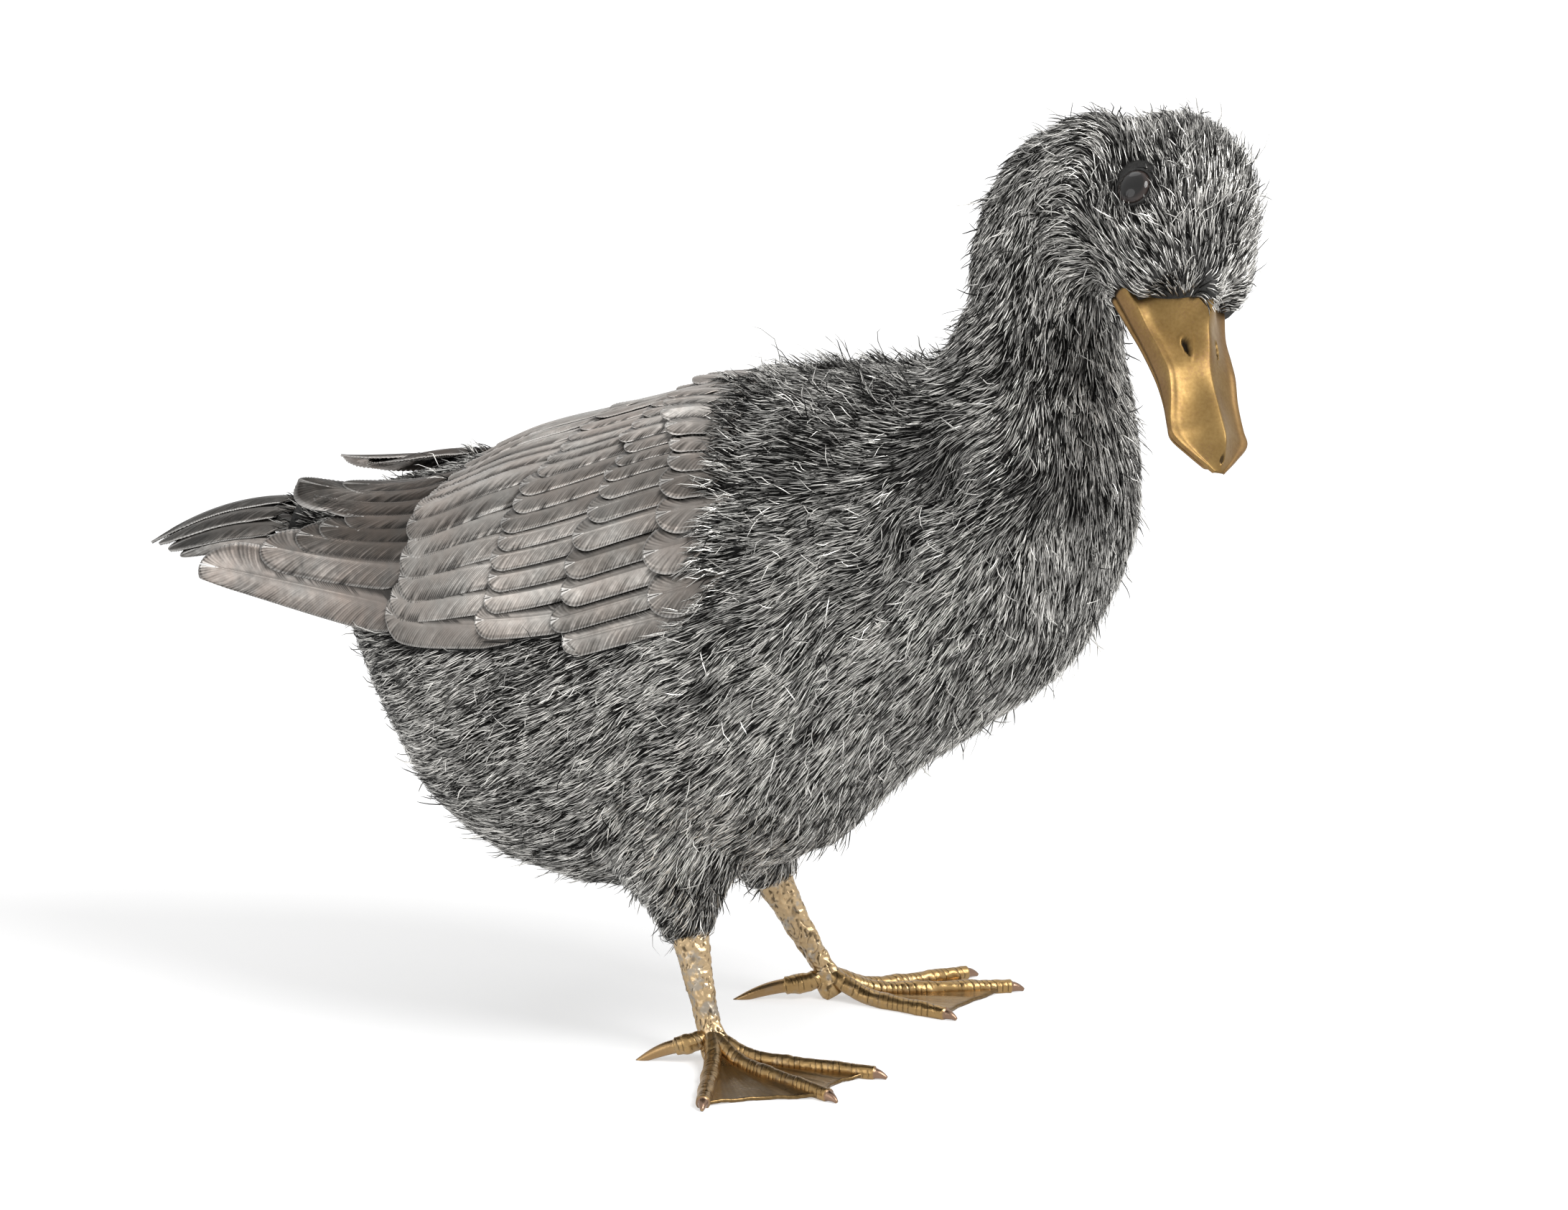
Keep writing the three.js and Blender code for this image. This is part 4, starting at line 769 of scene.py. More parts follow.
def vaneGrid(surface, spec, rng):
    # One feather. Its rows are barbs that leave the shaft and sweep to the rim, fanned at the tip.
    rootAlong, rootAcross = spec["root"]
    tipAlong, tipAcross = spec["tip"]
    shaft = surface(np.linspace(rootAlong, tipAlong, 24), np.linspace(rootAcross, tipAcross, 24), spec["height"](0.5))
    length = np.linalg.norm(np.diff(shaft, axis=0), axis=1).sum()
    half = spec["width"] / 2
    tipPart = spec.get("tipLength", vane["tipLength"]) * spec["width"] / length
    rows = 2 * int(length / spec.get("pitch", vane["barbPitch"])) + 1
    t = np.linspace(0, 1, rows)
    sweep = vane["sweep"] * half / length
    straight = (1 - tipPart) * length
    arc = vane["tipArc"] * math.hypot(tipPart * length, half)
    rimAt = mix(sweep * length, straight + arc, t)
    turn = np.clip((rimAt - straight) / arc, 0, 1) * math.pi / 2
    rimAlong = np.where(rimAt < straight, rimAt / length, 1 - tipPart + tipPart * np.sin(turn))
    narrow = np.minimum(1, vane["rootWidth"] + vane["rootGrowth"] * rimAlong)
    rimAcross = half * narrow * np.where(rimAt < straight, 1, np.cos(turn))
    shaftAlong = t * (1 - vane["shaftStop"] * tipPart)
    thin = vane["rachis"] * mix(*vane["rachisTaper"], t)
    columns = [-p for p in vane["columns"]] + [-0.02, 0, 0.02] + list(vane["columns"][::-1])
    xs, ys, heights, rims, grooves = [], [], [], [], []
    groove = (np.arange(rows) % 2) * rng.uniform(*vane["grooves"], rows)
    for place in columns:
        w = abs(place)
        if w < 0.05:
            x = shaftAlong + 0 * t
            y = np.sign(place) * thin
            ridge = np.full(rows, 0.0 if place else vane["rachisHeight"]) * (1 - 0.6 * t)
            depth = 0
        else:
            # barbs start out along the shaft and bend over to the rim
            bend = mix(shaftAlong, rimAlong, vane["barbBend"])
            x = shaftAlong * (1 - w) ** 2 + bend * 2 * w * (1 - w) + rimAlong * w**2
            reach = 0.4 * 2 * w * (1 - w) + w**2
            y = np.sign(place) * (thin + reach * np.maximum(rimAcross - thin, 0.02))
            ridge = -vane["barbDepth"] * groove * min(1, w * 1.7)
            depth = min(1, w * 2.2) * (0.35 + 0.6 * w)
        camber = -vane["camber"] * (y / half) ** 2
        edge = vane["rimHeight"] * smoothStep(0.9, 1, w)
        xs.append(x)
        ys.append(y)
        heights.append(ridge + camber + edge)
        rims.append(np.full(rows, w))
        grooves.append(groove * depth)
    x, y, h, rim, grooveMark = (np.stack(v, 1) for v in (xs, ys, heights, rims, grooves))
    rim[-3:] = 1
    # each barb has its own brightness, and the tip is a little brighter than the hidden root
    own = np.repeat(rng.normal(0, vane["ownTone"], rows // 2 + 1), 2)[:rows, None]
    barbTone = spec["tone"] + rng.uniform(*vane["featherTone"]) + own * smoothStep(0.1, 0.5, rim)
    barbTone = barbTone + vane["tipTone"] * (x - 0.6)
    along = mix(rootAlong, tipAlong, x)
    middle = mix(rootAcross, tipAcross, x)
    step = 0.02
    perMillimetre = 2 * step / np.linalg.norm(
        surface(along, middle + step, 0.0) - surface(along, middle - step, 0.0), axis=-1
    )
    across = middle + y * perMillimetre
    base = spec["height"](x) + spec["lift"] * (y / half + 1) / 2 + h
    top = surface(along, across, base)
    bottom = surface(along, across, base - spec["thickness"])
    marks = {
        "groove": np.concatenate([grooveMark.ravel(), np.zeros(grooveMark.size)]),
        "rim": np.concatenate([rim.ravel()] * 2),
        # the undersides are darkened as painted shade
        "shadeAndOxide": np.concatenate([np.zeros(x.size), np.full(x.size, spec.get("under", vane["underShade"]))]),
        # the far undersides are paler as painted light
        "tone": np.concatenate([barbTone.ravel(), barbTone.ravel() + spec.get("underLight", 0)]),
    }
    uv = np.stack([(y / half / narrow[:, None] + 1) / 2, x], -1).reshape(-1, 2)
    return top, bottom, marks, np.clip(np.concatenate([uv, uv]), 0, 1)


def packed(parts):
    # several meshes as one: points, groups of faces, places on the bake map in a cell each, and marks
    cells = math.ceil(math.sqrt(len(parts)))
    points, groups, uvs, marks = [], [], [], {}
    first = 0
    for number, (part, partGroups, uv, partMarks) in enumerate(parts):
        points.append(part)
        groups.append([group + first for group in partGroups])
        uvs.append((np.array([number % cells, number // cells]) + 0.03 + 0.94 * uv) / cells)
        for label, values in partMarks.items():
            marks.setdefault(label, []).append(values)
        first += len(part)
    groups = [np.concatenate(kind) for kind in zip(*groups)]
    marks = {label: np.concatenate(values) for label, values in marks.items()}
    return np.concatenate(points), groups, np.concatenate(uvs), marks


featherPieces, featherTops = [], []


def featherPiece(name, feathers, material, node):
    # feathers side by side in one piece, which takes the place of a construction node
    parts, tops = [], []
    first = 0
    for top, bottom, marks, uv in feathers:
        rows, columns = top.shape[:2]
        tops.append((first, rows, columns))
        first += 2 * rows * columns
        plate = np.concatenate([top.reshape(-1, 3), bottom.reshape(-1, 3)])
        parts.append((plate, [sheetFaces(rows, columns)], uv, marks))
    points, groups, uvs, marks = packed(parts)
    piece = newPiece(name, (points + upperOrigin) * mm, groups, material, uvs, marks)
    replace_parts(piece, node)
    featherPieces.append(piece)
    featherTops.append(tops)


def covertHeight(index, along):
    # a row rises from where it comes out of the coat or the row before to where it meets the next row
    starts = (-0.02, 0.03, 0.22, 0.5, wing["primaryRoot"])
    start, meets = starts[index:index + 2]
    grow = wing["stack"] * np.maximum((along - start) / (meets - start), 0)
    if index:
        return wing["plate"] + grow
    return mix(covert["frontHeight"], wing["plate"] + wing["stack"], smoothStep(-0.08, 0.01, along)) + 0.55 * grow


def makeCoverts(side, sideName):
    def surface(along, across, height):
        return wingPoint(along, across, height, side)

    def heightOver(index, rootAlong, tipAlong, high):
        return lambda x: high * covertHeight(index, mix(rootAlong, tipAlong, np.asarray(x, float)))

    for index, row in enumerate(covertRows):
        rng = np.random.default_rng(40 + index + (side > 0) * 10)
        feathers = []
        places = [across for _, across in row["tips"]]
        gaps = np.diff(places + [2 * places[-1] - places[-2]]) * covert["deep"]
        for (along, across), gap in zip(row["tips"], gaps):
            lowest = across == places[-1]
            slant = row["lowSlant"] if lowest else row["slant"] * smoothStep(-0.08, 0.2, across)
            root = (along - row["length"] / covert["long"], across - slant / covert["deep"])
            high = mix(wing["ridgeShare"], 1, smoothStep(-0.15, 0.25, across))
            pale = covert["topTone"] * max(0, 1 - across / covert["topShare"])
            width = covert["overlap"] * gap + covert["rim"] + covert["lowestExtra"] * lowest
            feathers.append(vaneGrid(surface, {
                "root": root, "tip": (along, across), "height": heightOver(index, root[0], along, high),
                "lift": wing["lift"], "width": min(covert["widest"], width), "thickness": wing["thickness"],
                "tone": row["tone"] + pale, "pitch": row["pitch"],
            }, rng))
        featherPiece(f"coverts_{index + 1}_{sideName}", feathers, covertFinish, f"covert_row_{index + 1}_{sideName}")


def makePrimaries(side, sideName):
    surface = lifted(primaryBase, side, side)
    rng = np.random.default_rng(70 + (side > 0))
    stand = primary["farStand"] * (side > 0)
    for number, (across, reach, width, tipLength, tone) in enumerate(primary["feathers"], 1):
        feather = vaneGrid(surface, {
            "root": (0, across), "tip": (reach, across), "width": width, "lift": primary["lift"], "tone": tone,
            # the far wing's undersides are painted lighter as painted light, the near wing's darker as painted shade
            "underLight": primary["farUnderLight"] * (side > 0), "under": 0.5 * (side < 0),
            "thickness": primary["thickness"], "tipLength": tipLength,
            "height": lambda x: primary["height"] + stand * np.sin(math.pi * np.clip(x, 0, 1)),
        }, rng)
        featherPiece(f"primaryFeather_{number}_{sideName}", [feather], primaryFinish,
                     f"primary_{number}_{sideName}")


def makeTail():
    surface = lifted(tailBase, 1, 1)
    rng = np.random.default_rng(90)
    middle = (tail["feathers"] - 1) / 2
    for index in range(tail["feathers"]):
        across = (index - middle) / middle
        level = -abs(index - middle) * tail["layer"]
        feather = vaneGrid(surface, {
            "root": (0, across), "tip": (mix(1, tail["sideReach"], abs(across)), across), "width": tail["width"],
            "lift": 0.0, "thickness": tail["thickness"], "tone": tail["tone"], "tipLength": tail["tipLength"],
            "height": lambda x, z=level: tail["height"] + z + 0 * np.asarray(x, float),
        }, rng)
        featherPiece(f"tailPlume_{index + 1}", [feather], tailFinish, f"tail_feather_{index + 1}")


def piecesTree(pieces):
    points, triangles = [], []
    first = 0
    for piece in pieces:
        data = piece.data
        data.calc_loop_triangles()
        co = np.empty(len(data.vertices) * 3, np.float32)
        data.vertices.foreach_get("co", co)
        tris = np.empty(len(data.loop_triangles) * 3, np.int32)
        data.loop_triangles.foreach_get("vertices", tris)
        points.append(co.reshape(-1, 3))
        triangles.append(tris.reshape(-1, 3) + first)
        first += len(data.vertices)
    return BVHTree.FromPolygons(np.concatenate(points).tolist(), np.concatenate(triangles).tolist())


recess = {"start": 0.3, "reach": 6, "near": 0.95, "next": 0.4}


def grown(mask):
    # a mask grown by one place along its first axis
    wider = mask.copy()
    wider[1:] = np.maximum(wider[1:], mask[:-1])
    wider[:-1] = np.maximum(wider[:-1], mask[1:])
    return wider


def darkenRecesses():
    # painted shade with oxide: darker where one feather comes out from under another, and next to it
    tree = piecesTree(featherPieces)
    for piece, tops in zip(featherPieces, featherTops):
        data = piece.data
        shadeAndOxide = np.empty(len(data.vertices))
        data.attributes["shadeAndOxide"].data.foreach_get("value", shadeAndOxide)
        for first, rows, columns in tops:
            size = rows * columns
            under = np.zeros(size)
            for k in range(size):
                vertex = data.vertices[first + k]
                start = vertex.co + vertex.normal * recess["start"] * mm
                if tree.ray_cast(start, vertex.normal, recess["reach"] * mm)[0] is not None:
                    under[k] = 1
            under = under.reshape(rows, columns)
            near = np.maximum(grown(under), grown(under.T).T)
            dark = np.maximum(near * recess["near"], grown(near) * recess["next"])
            shadeAndOxide[first:first + size] = np.maximum(shadeAndOxide[first:first + size], dark.ravel())
        data.attributes["shadeAndOxide"].data.foreach_set("value", shadeAndOxide.astype(np.float32))


def makePanel(side, sideName):
    # the dark panel that the feathers are soldered to
    spec = wing["panel"]
    rows, columns = spec["steps"]
    lines = np.linspace(*spec["along"], rows), np.linspace(*spec["across"], columns)
    along, across = np.meshgrid(*lines, indexing="ij")
    layers = [wingPoint(along, across, height, side).reshape(-1, 3) for height in (spec["top"], spec["foot"])]
    uv = np.stack(np.meshgrid(np.linspace(0, 1, columns), np.linspace(0, 0.5, rows)), -1).reshape(-1, 2)
    piece = newPiece(f"wingPanel_{sideName}", (np.concatenate(layers) + upperOrigin) * mm,
                     [sheetFaces(rows, columns)], undercoatFinish,
                     np.concatenate([uv, uv + np.array([0, 0.5])]))
    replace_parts(piece, f"wing_plate_{sideName}")
    return piece


panels = []
for sideName, side in sides.items():
    panels.append(makePanel(side, sideName))
    makeCoverts(side, sideName)
    makePrimaries(side, sideName)
makeTail()
darkenRecesses()
print("feathers are made")


# Head frame: forward along the bill, to the duck's left, and up through the crown

head = {"yaw": 49, "pitch": 36.7, "roll": 27, "middle": (139.7, -8.8, 238.7)}


def headAxes(rollDegrees):
    yaw, pitch, roll = (math.radians(angle) for angle in (head["yaw"], head["pitch"], rollDegrees))
    forward = np.array([math.cos(pitch) * math.cos(yaw), -math.cos(pitch) * math.sin(yaw), -math.sin(pitch)])
    levelRight = np.array([-math.sin(yaw), -math.cos(yaw), 0])
    levelUp = np.cross(levelRight, forward)
    headRight = levelRight * math.cos(roll) + levelUp * math.sin(roll)
    return np.stack([forward, -headRight, np.cross(headRight, forward)])


headTurn = headAxes(head["roll"])
headMiddle = np.array(head["middle"]) + upperOrigin


# Bill: sections ahead of the head's middle, each a keel with a hollow flank down to a rounded side ridge.
# Its own axes are rolled back a little from the head's.

bill = {
    "roll": 18,
    "aside": -2.2,
    "stations": [  # x ahead, keel height, side ridge height, parting height, underside, half width
        (19, 12.4, -5.9, -10.9, -16.6, 19.6), (23, 12.4, -6.1, -11.1, -16.6, 18.9),
        (27, 12.2, -6.3, -11.3, -16.5, 17.9), (33, 11.6, -6.9, -11.8, -16.4, 16.4),
        (37, 9.2, -7.1, -11.9, -16.2, 15.5), (41, 4.4, -7.1, -12, -16, 14.8), (47.5, 0.8, -6.8, -12.2, -15.8, 13.9),
        (54, -2.2, -6.8, -12.5, -15.8, 13.3), (62, -4.5, -9.8, -13.2, -16.2, 13.3),
        (70, -5.4, -12.6, -13.9, -16.6, 14.3), (74.5, -5.9, -13.3, -14.4, -16.8, 14.5),
        (80.5, -7.4, -13.9, -14.8, -17, 9.2), (87, -14, -14.6, -15.2, -17.1, 2.2),
    ],
    "rows": 130, "turns": 44, "inner": 8,
    "crowding": 1.15,  # over 1, the rows stand closer towards the tip
    "underRise": 0.3, "lowerHollow": 0.7,
    "lowerRows": 60, "lowerTurns": 40, "lowerSquareness": 2.7,
    "ridgeAt": 0.76,  # the side ridge's share of the way from keel to parting
    "keelWidth": 0.3,  # share of the half width that the keel's rounding takes
    "keelStand": 0.7,  # how far the rounded keel stands up
    "flankPower": 1.25,  # over 1, the flanks are hollow
    "rimStand": 0.45,
    "coatAtKeel": 37.5,  # where the coat ends on the bill, over its middle
    "coatAtSide": 21,  # and at its sides
    "nostril": {"x": 46.6, "aside": 5.5, "long": 3.3, "wide": 1.05, "deep": 1.6},
    "nail": {"x": 81, "long": 6, "wide": 5, "high": 0.14},
    "notch": {"x": 84.4, "long": 1.1, "wide": 0.8, "deep": 0.7},
    "hammer": {"size": 9, "depth": 0.12},
    "mapStart": 18, "mapLength": 72,  # what the bake map's height takes in
    "lowerInset": 1.0,
}
billTurn = headAxes(bill["roll"])
billMiddle = headMiddle + headTurn[1] * bill["aside"]


def fromBill(points):
    return (np.asarray(points) @ billTurn + billMiddle) * mm


def toBill(points):
    return (np.asarray(points) - billMiddle) @ billTurn.T


def coatLine(width):
    # how far forward the coat reaches, by share of the half width
    return mix(bill["coatAtKeel"], bill["coatAtSide"], np.clip(np.abs(width), 0, 1) ** 1.1)


def billPlace(points):
    # how far points lie ahead on the bill, and how far aside as a share of its half width
    ahead, aside, _ = toBill(points).T
    places, *_, half = zip(*bill["stations"])
    return ahead, aside / np.interp(ahead, places, half)


def billSection(turn, keel, ridge, parting, half):
    # turn runs from 0 at the keel to 1 at the parting, and the half width is reached at the side ridge
    ridgeAt = bill["ridgeAt"]
    w = np.clip(turn / ridgeAt, 0, 1)
    past = np.clip((turn - ridgeAt) / (1 - ridgeAt), 0, 1)
    blunt = np.sqrt(w**2 + bill["keelWidth"] ** 2) - bill["keelWidth"] * (1 - w) ** 2
    fall = np.clip(1 - blunt / 0.98, 0, 1) ** bill["flankPower"]
    z = mix(ridge, keel, fall)
    tall = np.clip((keel - ridge) / 6, 0, 1)
    z = z + tall * bill["keelStand"] * np.exp(-((w / bill["keelWidth"]) ** 2))
    z = z + bill["rimStand"] * np.exp(-(((w - 0.93) / 0.09) ** 2)) * (1 - past)
    y = half * 0.95 * w
    roll = past * math.pi / 2
    y = y + half * 0.05 * np.sin(roll)
    return y, mix(z, parting, 1 - np.cos(roll))


def billPiece(name, points, across, x, marks, node):
    flat, quads, fans = closeTube(points)
    uv = tubeUv(across, (x - bill["mapStart"]) / bill["mapLength"])
    piece = newPiece(name, fromBill(flat), [quads, fans], billFinish, uv, marks)
    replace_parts(piece, node)
    return piece


def makeUpperBill():
    share = 1 - (1 - np.linspace(0, 1, bill["rows"])) ** bill["crowding"]
    x, keel, ridge, parting, _, half = smoothCurve(bill["stations"])(share).T[:, :, None]
    turn = np.linspace(0, 1, bill["turns"])[None, :]
    y, z = billSection(turn, keel, ridge, parting, half)
    # the flat underside, then the far side as the near side's mirror
    inner = np.linspace(1, 0, bill["inner"])[None, 1:-1]
    yUnder = half * inner
    zUnder = parting + bill["underRise"] + 0 * inner
    ring = np.concatenate([y, yUnder, -yUnder[:, ::-1], -y[:, :0:-1]], 1)
    height = np.concatenate([z, zUnder, zUnder[:, ::-1], z[:, :0:-1]], 1)
    turns = np.concatenate([turn + 0 * x, 1 + 0 * yUnder, 1 + 0 * yUnder, turn[:, :0:-1] + 0 * x], 1)
    far = np.concatenate([0 * y, 0 * yUnder, 0 * yUnder + 1, 0 * y[:, :0:-1] + 1], 1)
    top = turns < 0.95
    # the nail at the tip, with a small notch in its edge
    nail, notch = (((x - bill[spot]["x"]) / bill[spot]["long"]) ** 2 + (ring / bill[spot]["wide"]) ** 2
                   for spot in ("nail", "notch"))
    dent = top * smoothStep(1.3, 0.4, notch)
    height = height + top * bill["nail"]["high"] * smoothStep(1.9, 0.5, nail) - bill["notch"]["deep"] * dent
    # nostrils: teardrop slots, pointed towards the tip, with a small raised rim
    nostril = bill["nostril"]
    along = (x - nostril["x"]) / nostril["long"]
    offset = np.abs(ring) - nostril["aside"] + 0.3 * along
    slot = along**2 + (offset / (nostril["wide"] * mix(1.3, 0.45, np.clip((along + 1) / 2, 0, 1)))) ** 2
    pit = top * smoothStep(1.1, 0.55, slot)
    lip = top * np.exp(-((slot - 1.9) / 0.5) ** 2) * 0.2
    height = height - pit * nostril["deep"] + lip
    # soft dents of the hammer
    shape = np.stack([x + 0 * ring, ring, height], -1)
    height = height + top * bill["hammer"]["depth"] * ripples(shape, bill["hammer"]["size"], 61)
    points = np.stack([x + 0 * ring, -ring, height], -1)
    # the coat ends on the bill in a dark line with crumbs of gilding in it
    behind = coatLine(ring / half) + 0.5 * ripples(shape, 3, 62) - x
    edge = smoothStep(-0.9, 0.4, behind)
    # the nostril pits and the notch are painted dark, as shade in them
    hollow = np.clip(pit + 0.8 * dent + edge, 0, 1)
    # the far flank and the rolled-under edges are marked for the darker colour, partly stain and partly painted
    # reflection
    flank = np.clip(far * 0.4 * smoothStep(0.3, 0.8, turns) + 0.45 * smoothStep(0.8, 1, turns), 0, 1)
    marks = {"hollow": tubeMark(hollow, ring.shape, (1, 0)), "flank": tubeMark(flank, ring.shape)}
    return billPiece("bill_top", points, turns * 0.48 + far * 0.5, x, marks, "bill_upper")


def makeLowerBill():
    share = np.linspace(0.02, 0.965, bill["lowerRows"])
    x, _, _, parting, under, half = smoothCurve(bill["stations"])(share).T[:, :, None]
    angle = around(bill["lowerTurns"])[None, :]
    high = squared(np.cos(angle), bill["lowerSquareness"])
    top = parting - 0.15
    ring = (half - bill["lowerInset"]) * squared(np.sin(angle), bill["lowerSquareness"])
    # two rails with a soft hollow between them, as under a real bill
    hollow = bill["lowerHollow"] * np.exp(-((ring / (0.42 * half)) ** 2)) * (high < 0)
    z = (top + under) / 2 + high * (top - under) / 2 + hollow
    points = np.stack([x + 0 * ring, ring, z], -1)
    behind = smoothStep(-0.6, 0.6, bill["coatAtSide"] - x)
    # the whole lower bill takes some of the flanks' darker colour, partly stain and partly painted reflection
    marks = {"hollow": tubeMark(behind, ring.shape, (1, 0)), "flank": tubeMark(0.3, ring.shape, (0.3, 0.3))}
    return billPiece("bill_under", points, angle / (2 * math.pi), x, marks, "bill_lower")


muzzle = {
    "stations": [(12, 20.5, -16, 20), (17, 19.6, -12, 19.8), (21, 18.6, -9, 18.9), (25, 17, -7.5, 14.8),
                 (29, 15, -5, 10.2), (33, 13.2, -3, 5.8), (36.6, 10.9, 4, 2)],  # ahead, top, foot, half width
    "rows": 40, "turns": 40,
}


def makeMuzzle():
    # the shell under the coat that fills in between the cheeks and the bill
    ahead, top, foot, half = smoothCurve(muzzle["stations"])(np.linspace(0, 1, muzzle["rows"])).T[:, :, None]
    angle = np.linspace(-math.pi / 2, math.pi / 2, muzzle["turns"])[None, :]
    arch = np.stack([ahead + 0 * angle, half * np.sin(angle), foot + (top - foot) * np.cos(angle) ** 0.95], -1)
    flat, quads, fans = closeTube(arch)
    uv = tubeUv(np.linspace(0, 1, muzzle["turns"]), np.linspace(0, 1, muzzle["rows"])[:, None])
    return newPiece("undercoat_muzzle", fromBill(flat), [quads, fans], undercoatFinish, uv)


billPieces = [makeUpperBill(), makeLowerBill()]
muzzlePiece = makeMuzzle()
print("bill is made")


# Eyes: a domed glass in its socket, with a lid ring round it

eye = {
    "radius": 5.6, "dome": 3.0, "depth": 4.6, "turns": 48,
    "sunk": 1.4,  # the glass's rim behind the front of the construction ball
    "lid": 0.5, "lidGap": 0.5, "lidHeight": 0.1,
    "bare": 6.4,  # no wire stands nearer than this
}


def nodeMiddle(node):
    low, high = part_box(node)
    return (np.array(low) + np.array(high)) / 2 / mm


def lathe(name, profile, centre, axis, material, marks=None):
    count = eye["turns"]
    profile = np.array(profile, float)
    axis = unit(np.asarray(axis, float))
    first = unit(np.cross(axis, [0, 0, 1]))
    second = np.cross(axis, first)
    angle = around(count)
    ring = np.cos(angle)[:, None] * first + np.sin(angle)[:, None] * second
    points = centre + profile[:, 0, None, None] * ring + profile[:, 1, None, None] * axis
    values = {key: np.repeat(value, count) for key, value in (marks or {}).items()}
    uv = np.stack(np.meshgrid(np.linspace(0, 1, len(profile)), angle / 7, indexing="ij"), -1).reshape(-1, 2)
    return newPiece(name, points.reshape(-1, 3) * mm, [gridFaces(len(profile), count, closed=True)], material,
                    uv, values)


def makeEyes():
    for sideName in sides:
        vertices = np.array([v.co for v in frame["nodes"][f"eye_{sideName}"].data.vertices]) / mm
        middle = vertices.mean(0)
        outward = unit(middle - nodeMiddle("head_shell"))
        flat = vertices - middle
        # the ball's own axis is the direction in which it is thinnest or longest; its back is flat
        axes = np.linalg.svd(flat - flat.mean(0))[2]
        axis = max(axes, key=lambda a: abs(a @ outward))
        axis = axis * np.sign(axis @ outward)
        front = middle + axis * (flat @ axis).max()
        seat = front - axis * eye["sunk"]
        turns = np.linspace(0, math.pi / 2, 14)
        dome = [(max(eye["radius"] * math.sin(t), 0.01), eye["dome"] * math.cos(t)) for t in turns]
        profile = dome + [(eye["radius"], -eye["depth"]), (0.01, -eye["depth"])]
        rim = np.append([math.sin(t) for t in turns], [1, 1])
        ball = lathe(f"eyeGlass_{sideName}", profile, seat, axis, eyeFinish, {"rim": rim})
        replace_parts(ball, f"eye_{sideName}")
        lid = [(eye["radius"] + eye["lidGap"] + eye["lid"] * math.sin(t), eye["lidHeight"] + eye["lid"] * math.cos(t))
               for t in np.linspace(0, 2 * math.pi, 13)]
        lathe(f"eyeLid_{sideName}", lid, seat, axis, undercoatFinish)
        yield sideName, seat, axis


eyePlaces = {sideName: (seat, axis) for sideName, seat, axis in makeEyes()}
print("eyes are made")


# Legs and feet

legs = {
    "right": {"ankle": (0, -43), "knee": (-12, -34.7), "toes": [(-72, 55), (-28, 60), (2, 58)], "hind": (-163, 25)},
    "left": {"ankle": (8.5, 38), "knee": (-11.5, 34.7), "toes": [(-12, 47), (29, 61.5), (50, 52.5)],
             "hind": (-155, 32.5)},
}
limb = {
    "ankleHeight": 4,
    "toeStart": 9.8,  # the toes' height where they leave the leg
    "toeDrop": 6.6,  # how far out they have come down
    "shank": [(0, 5.3, 5.9), (0.16, 4.6, 5.3), (0.35, 3.7, 4.3), (0.6, 3.0, 3.5), (0.8, 2.7, 3.2),
              (0.92, 3.1, 3.9), (1, 3.8, 5)],
    "shankSteps": (140, 84), "hubSteps": (44, 56), "webSteps": (60, 34),
    "toeRings": 3.4, "toeTurns": 32,  # rings of points a millimetre, and points a ring
    "shankEnd": 1.5,  # the shank stops this far short of the ankle, inside the hub
    "shankGrain": ((4, 0.22), (1.7, 0.09)),  # size and depth
    "ridge": 0.6,  # down the leg's front
    "flange": 1.1,  # the thin edge behind the leg
    "flaw": 1.25,  # size of the pits in the gilding
    "flawDepth": 0.3,
    "ringPitch": 1.9, "ringDepth": 0.17, "ringSlant": 1.3, "ringWander": 0.4, "ringStart": 0.74,
    "knuckleRise": 0.35, "knuckleShare": 0.06, "clawThin": 0.68, "toeGrain": (2.4, 0.07),
    # a toe's radii at its root and tip, the places of its knuckles, its claw, and how far it arches up
    "toe": {"radius": 2.9, "tip": 2.3, "knuckles": (0.42, 0.7), "claw": 4.2, "clawShare": 0, "clawWidth": 0.74,
            "clawDrop": 1.2, "clawTaper": 1.5, "arch": 0, "start": 0, "nail": 0.75},
    "hindToe": {"radius": 3.1, "tip": 2.7, "knuckles": (0.3,), "claw": 0, "clawShare": 0.55, "clawWidth": 0.78,
                "clawDrop": 2.3, "clawTaper": 2.2, "arch": 2.2, "start": 2, "nail": 0.2},
    "webThickness": 1.1, "webReach": 0.9, "webHollow": 0.13, "webSag": 0.5, "webSink": 0.4, "webLow": 0.62,
    "webFolds": (4, 0.17), "webLines": (17, 0.05),  # how many, and how deep
    "hub": [3.5, 3.9, 3.9, 3.6, 3.3, 3.0], "hubFoot": 0.9, "hubHeight": 9.5,
    "floorGap": 0.02,
}


def flaws(points, size, seed, coarseShare):
    # short upright pits and cracks in old gilding: 1 in the pits
    tall = points * np.array([1, 1, 0.36])
    fine = smoothStep(0.85, 1.35, ripples(tall, size, seed, 12))
    cracks = smoothStep(0.2, 0.03, np.abs(ripples(tall, 2.6 * size, seed + 1, 11)))
    cracks = cracks * smoothStep(-0.2, 0.4, ripples(points, 3.2 * size, seed + 2, 9))
    coarse = smoothStep(0.75, 1.3, ripples(tall, 3 * size, seed + 3, 9))
    return np.clip(fine + 0.75 * cracks + coarse * coarseShare, 0, 1)


def legAxes(name):
    # ankle and knee, then the leg's own directions: up it, forwards and aside
    ankle = np.array([*legs[name]["ankle"], limb["ankleHeight"]])
    knee = np.array([*legs[name]["knee"], body["kneeHeight"]])
    axis = unit(knee - ankle)
    fore = unit(np.array([1, 0, 0]) - axis * axis[0])
    return ankle, knee, axis, fore, np.cross(axis, fore)


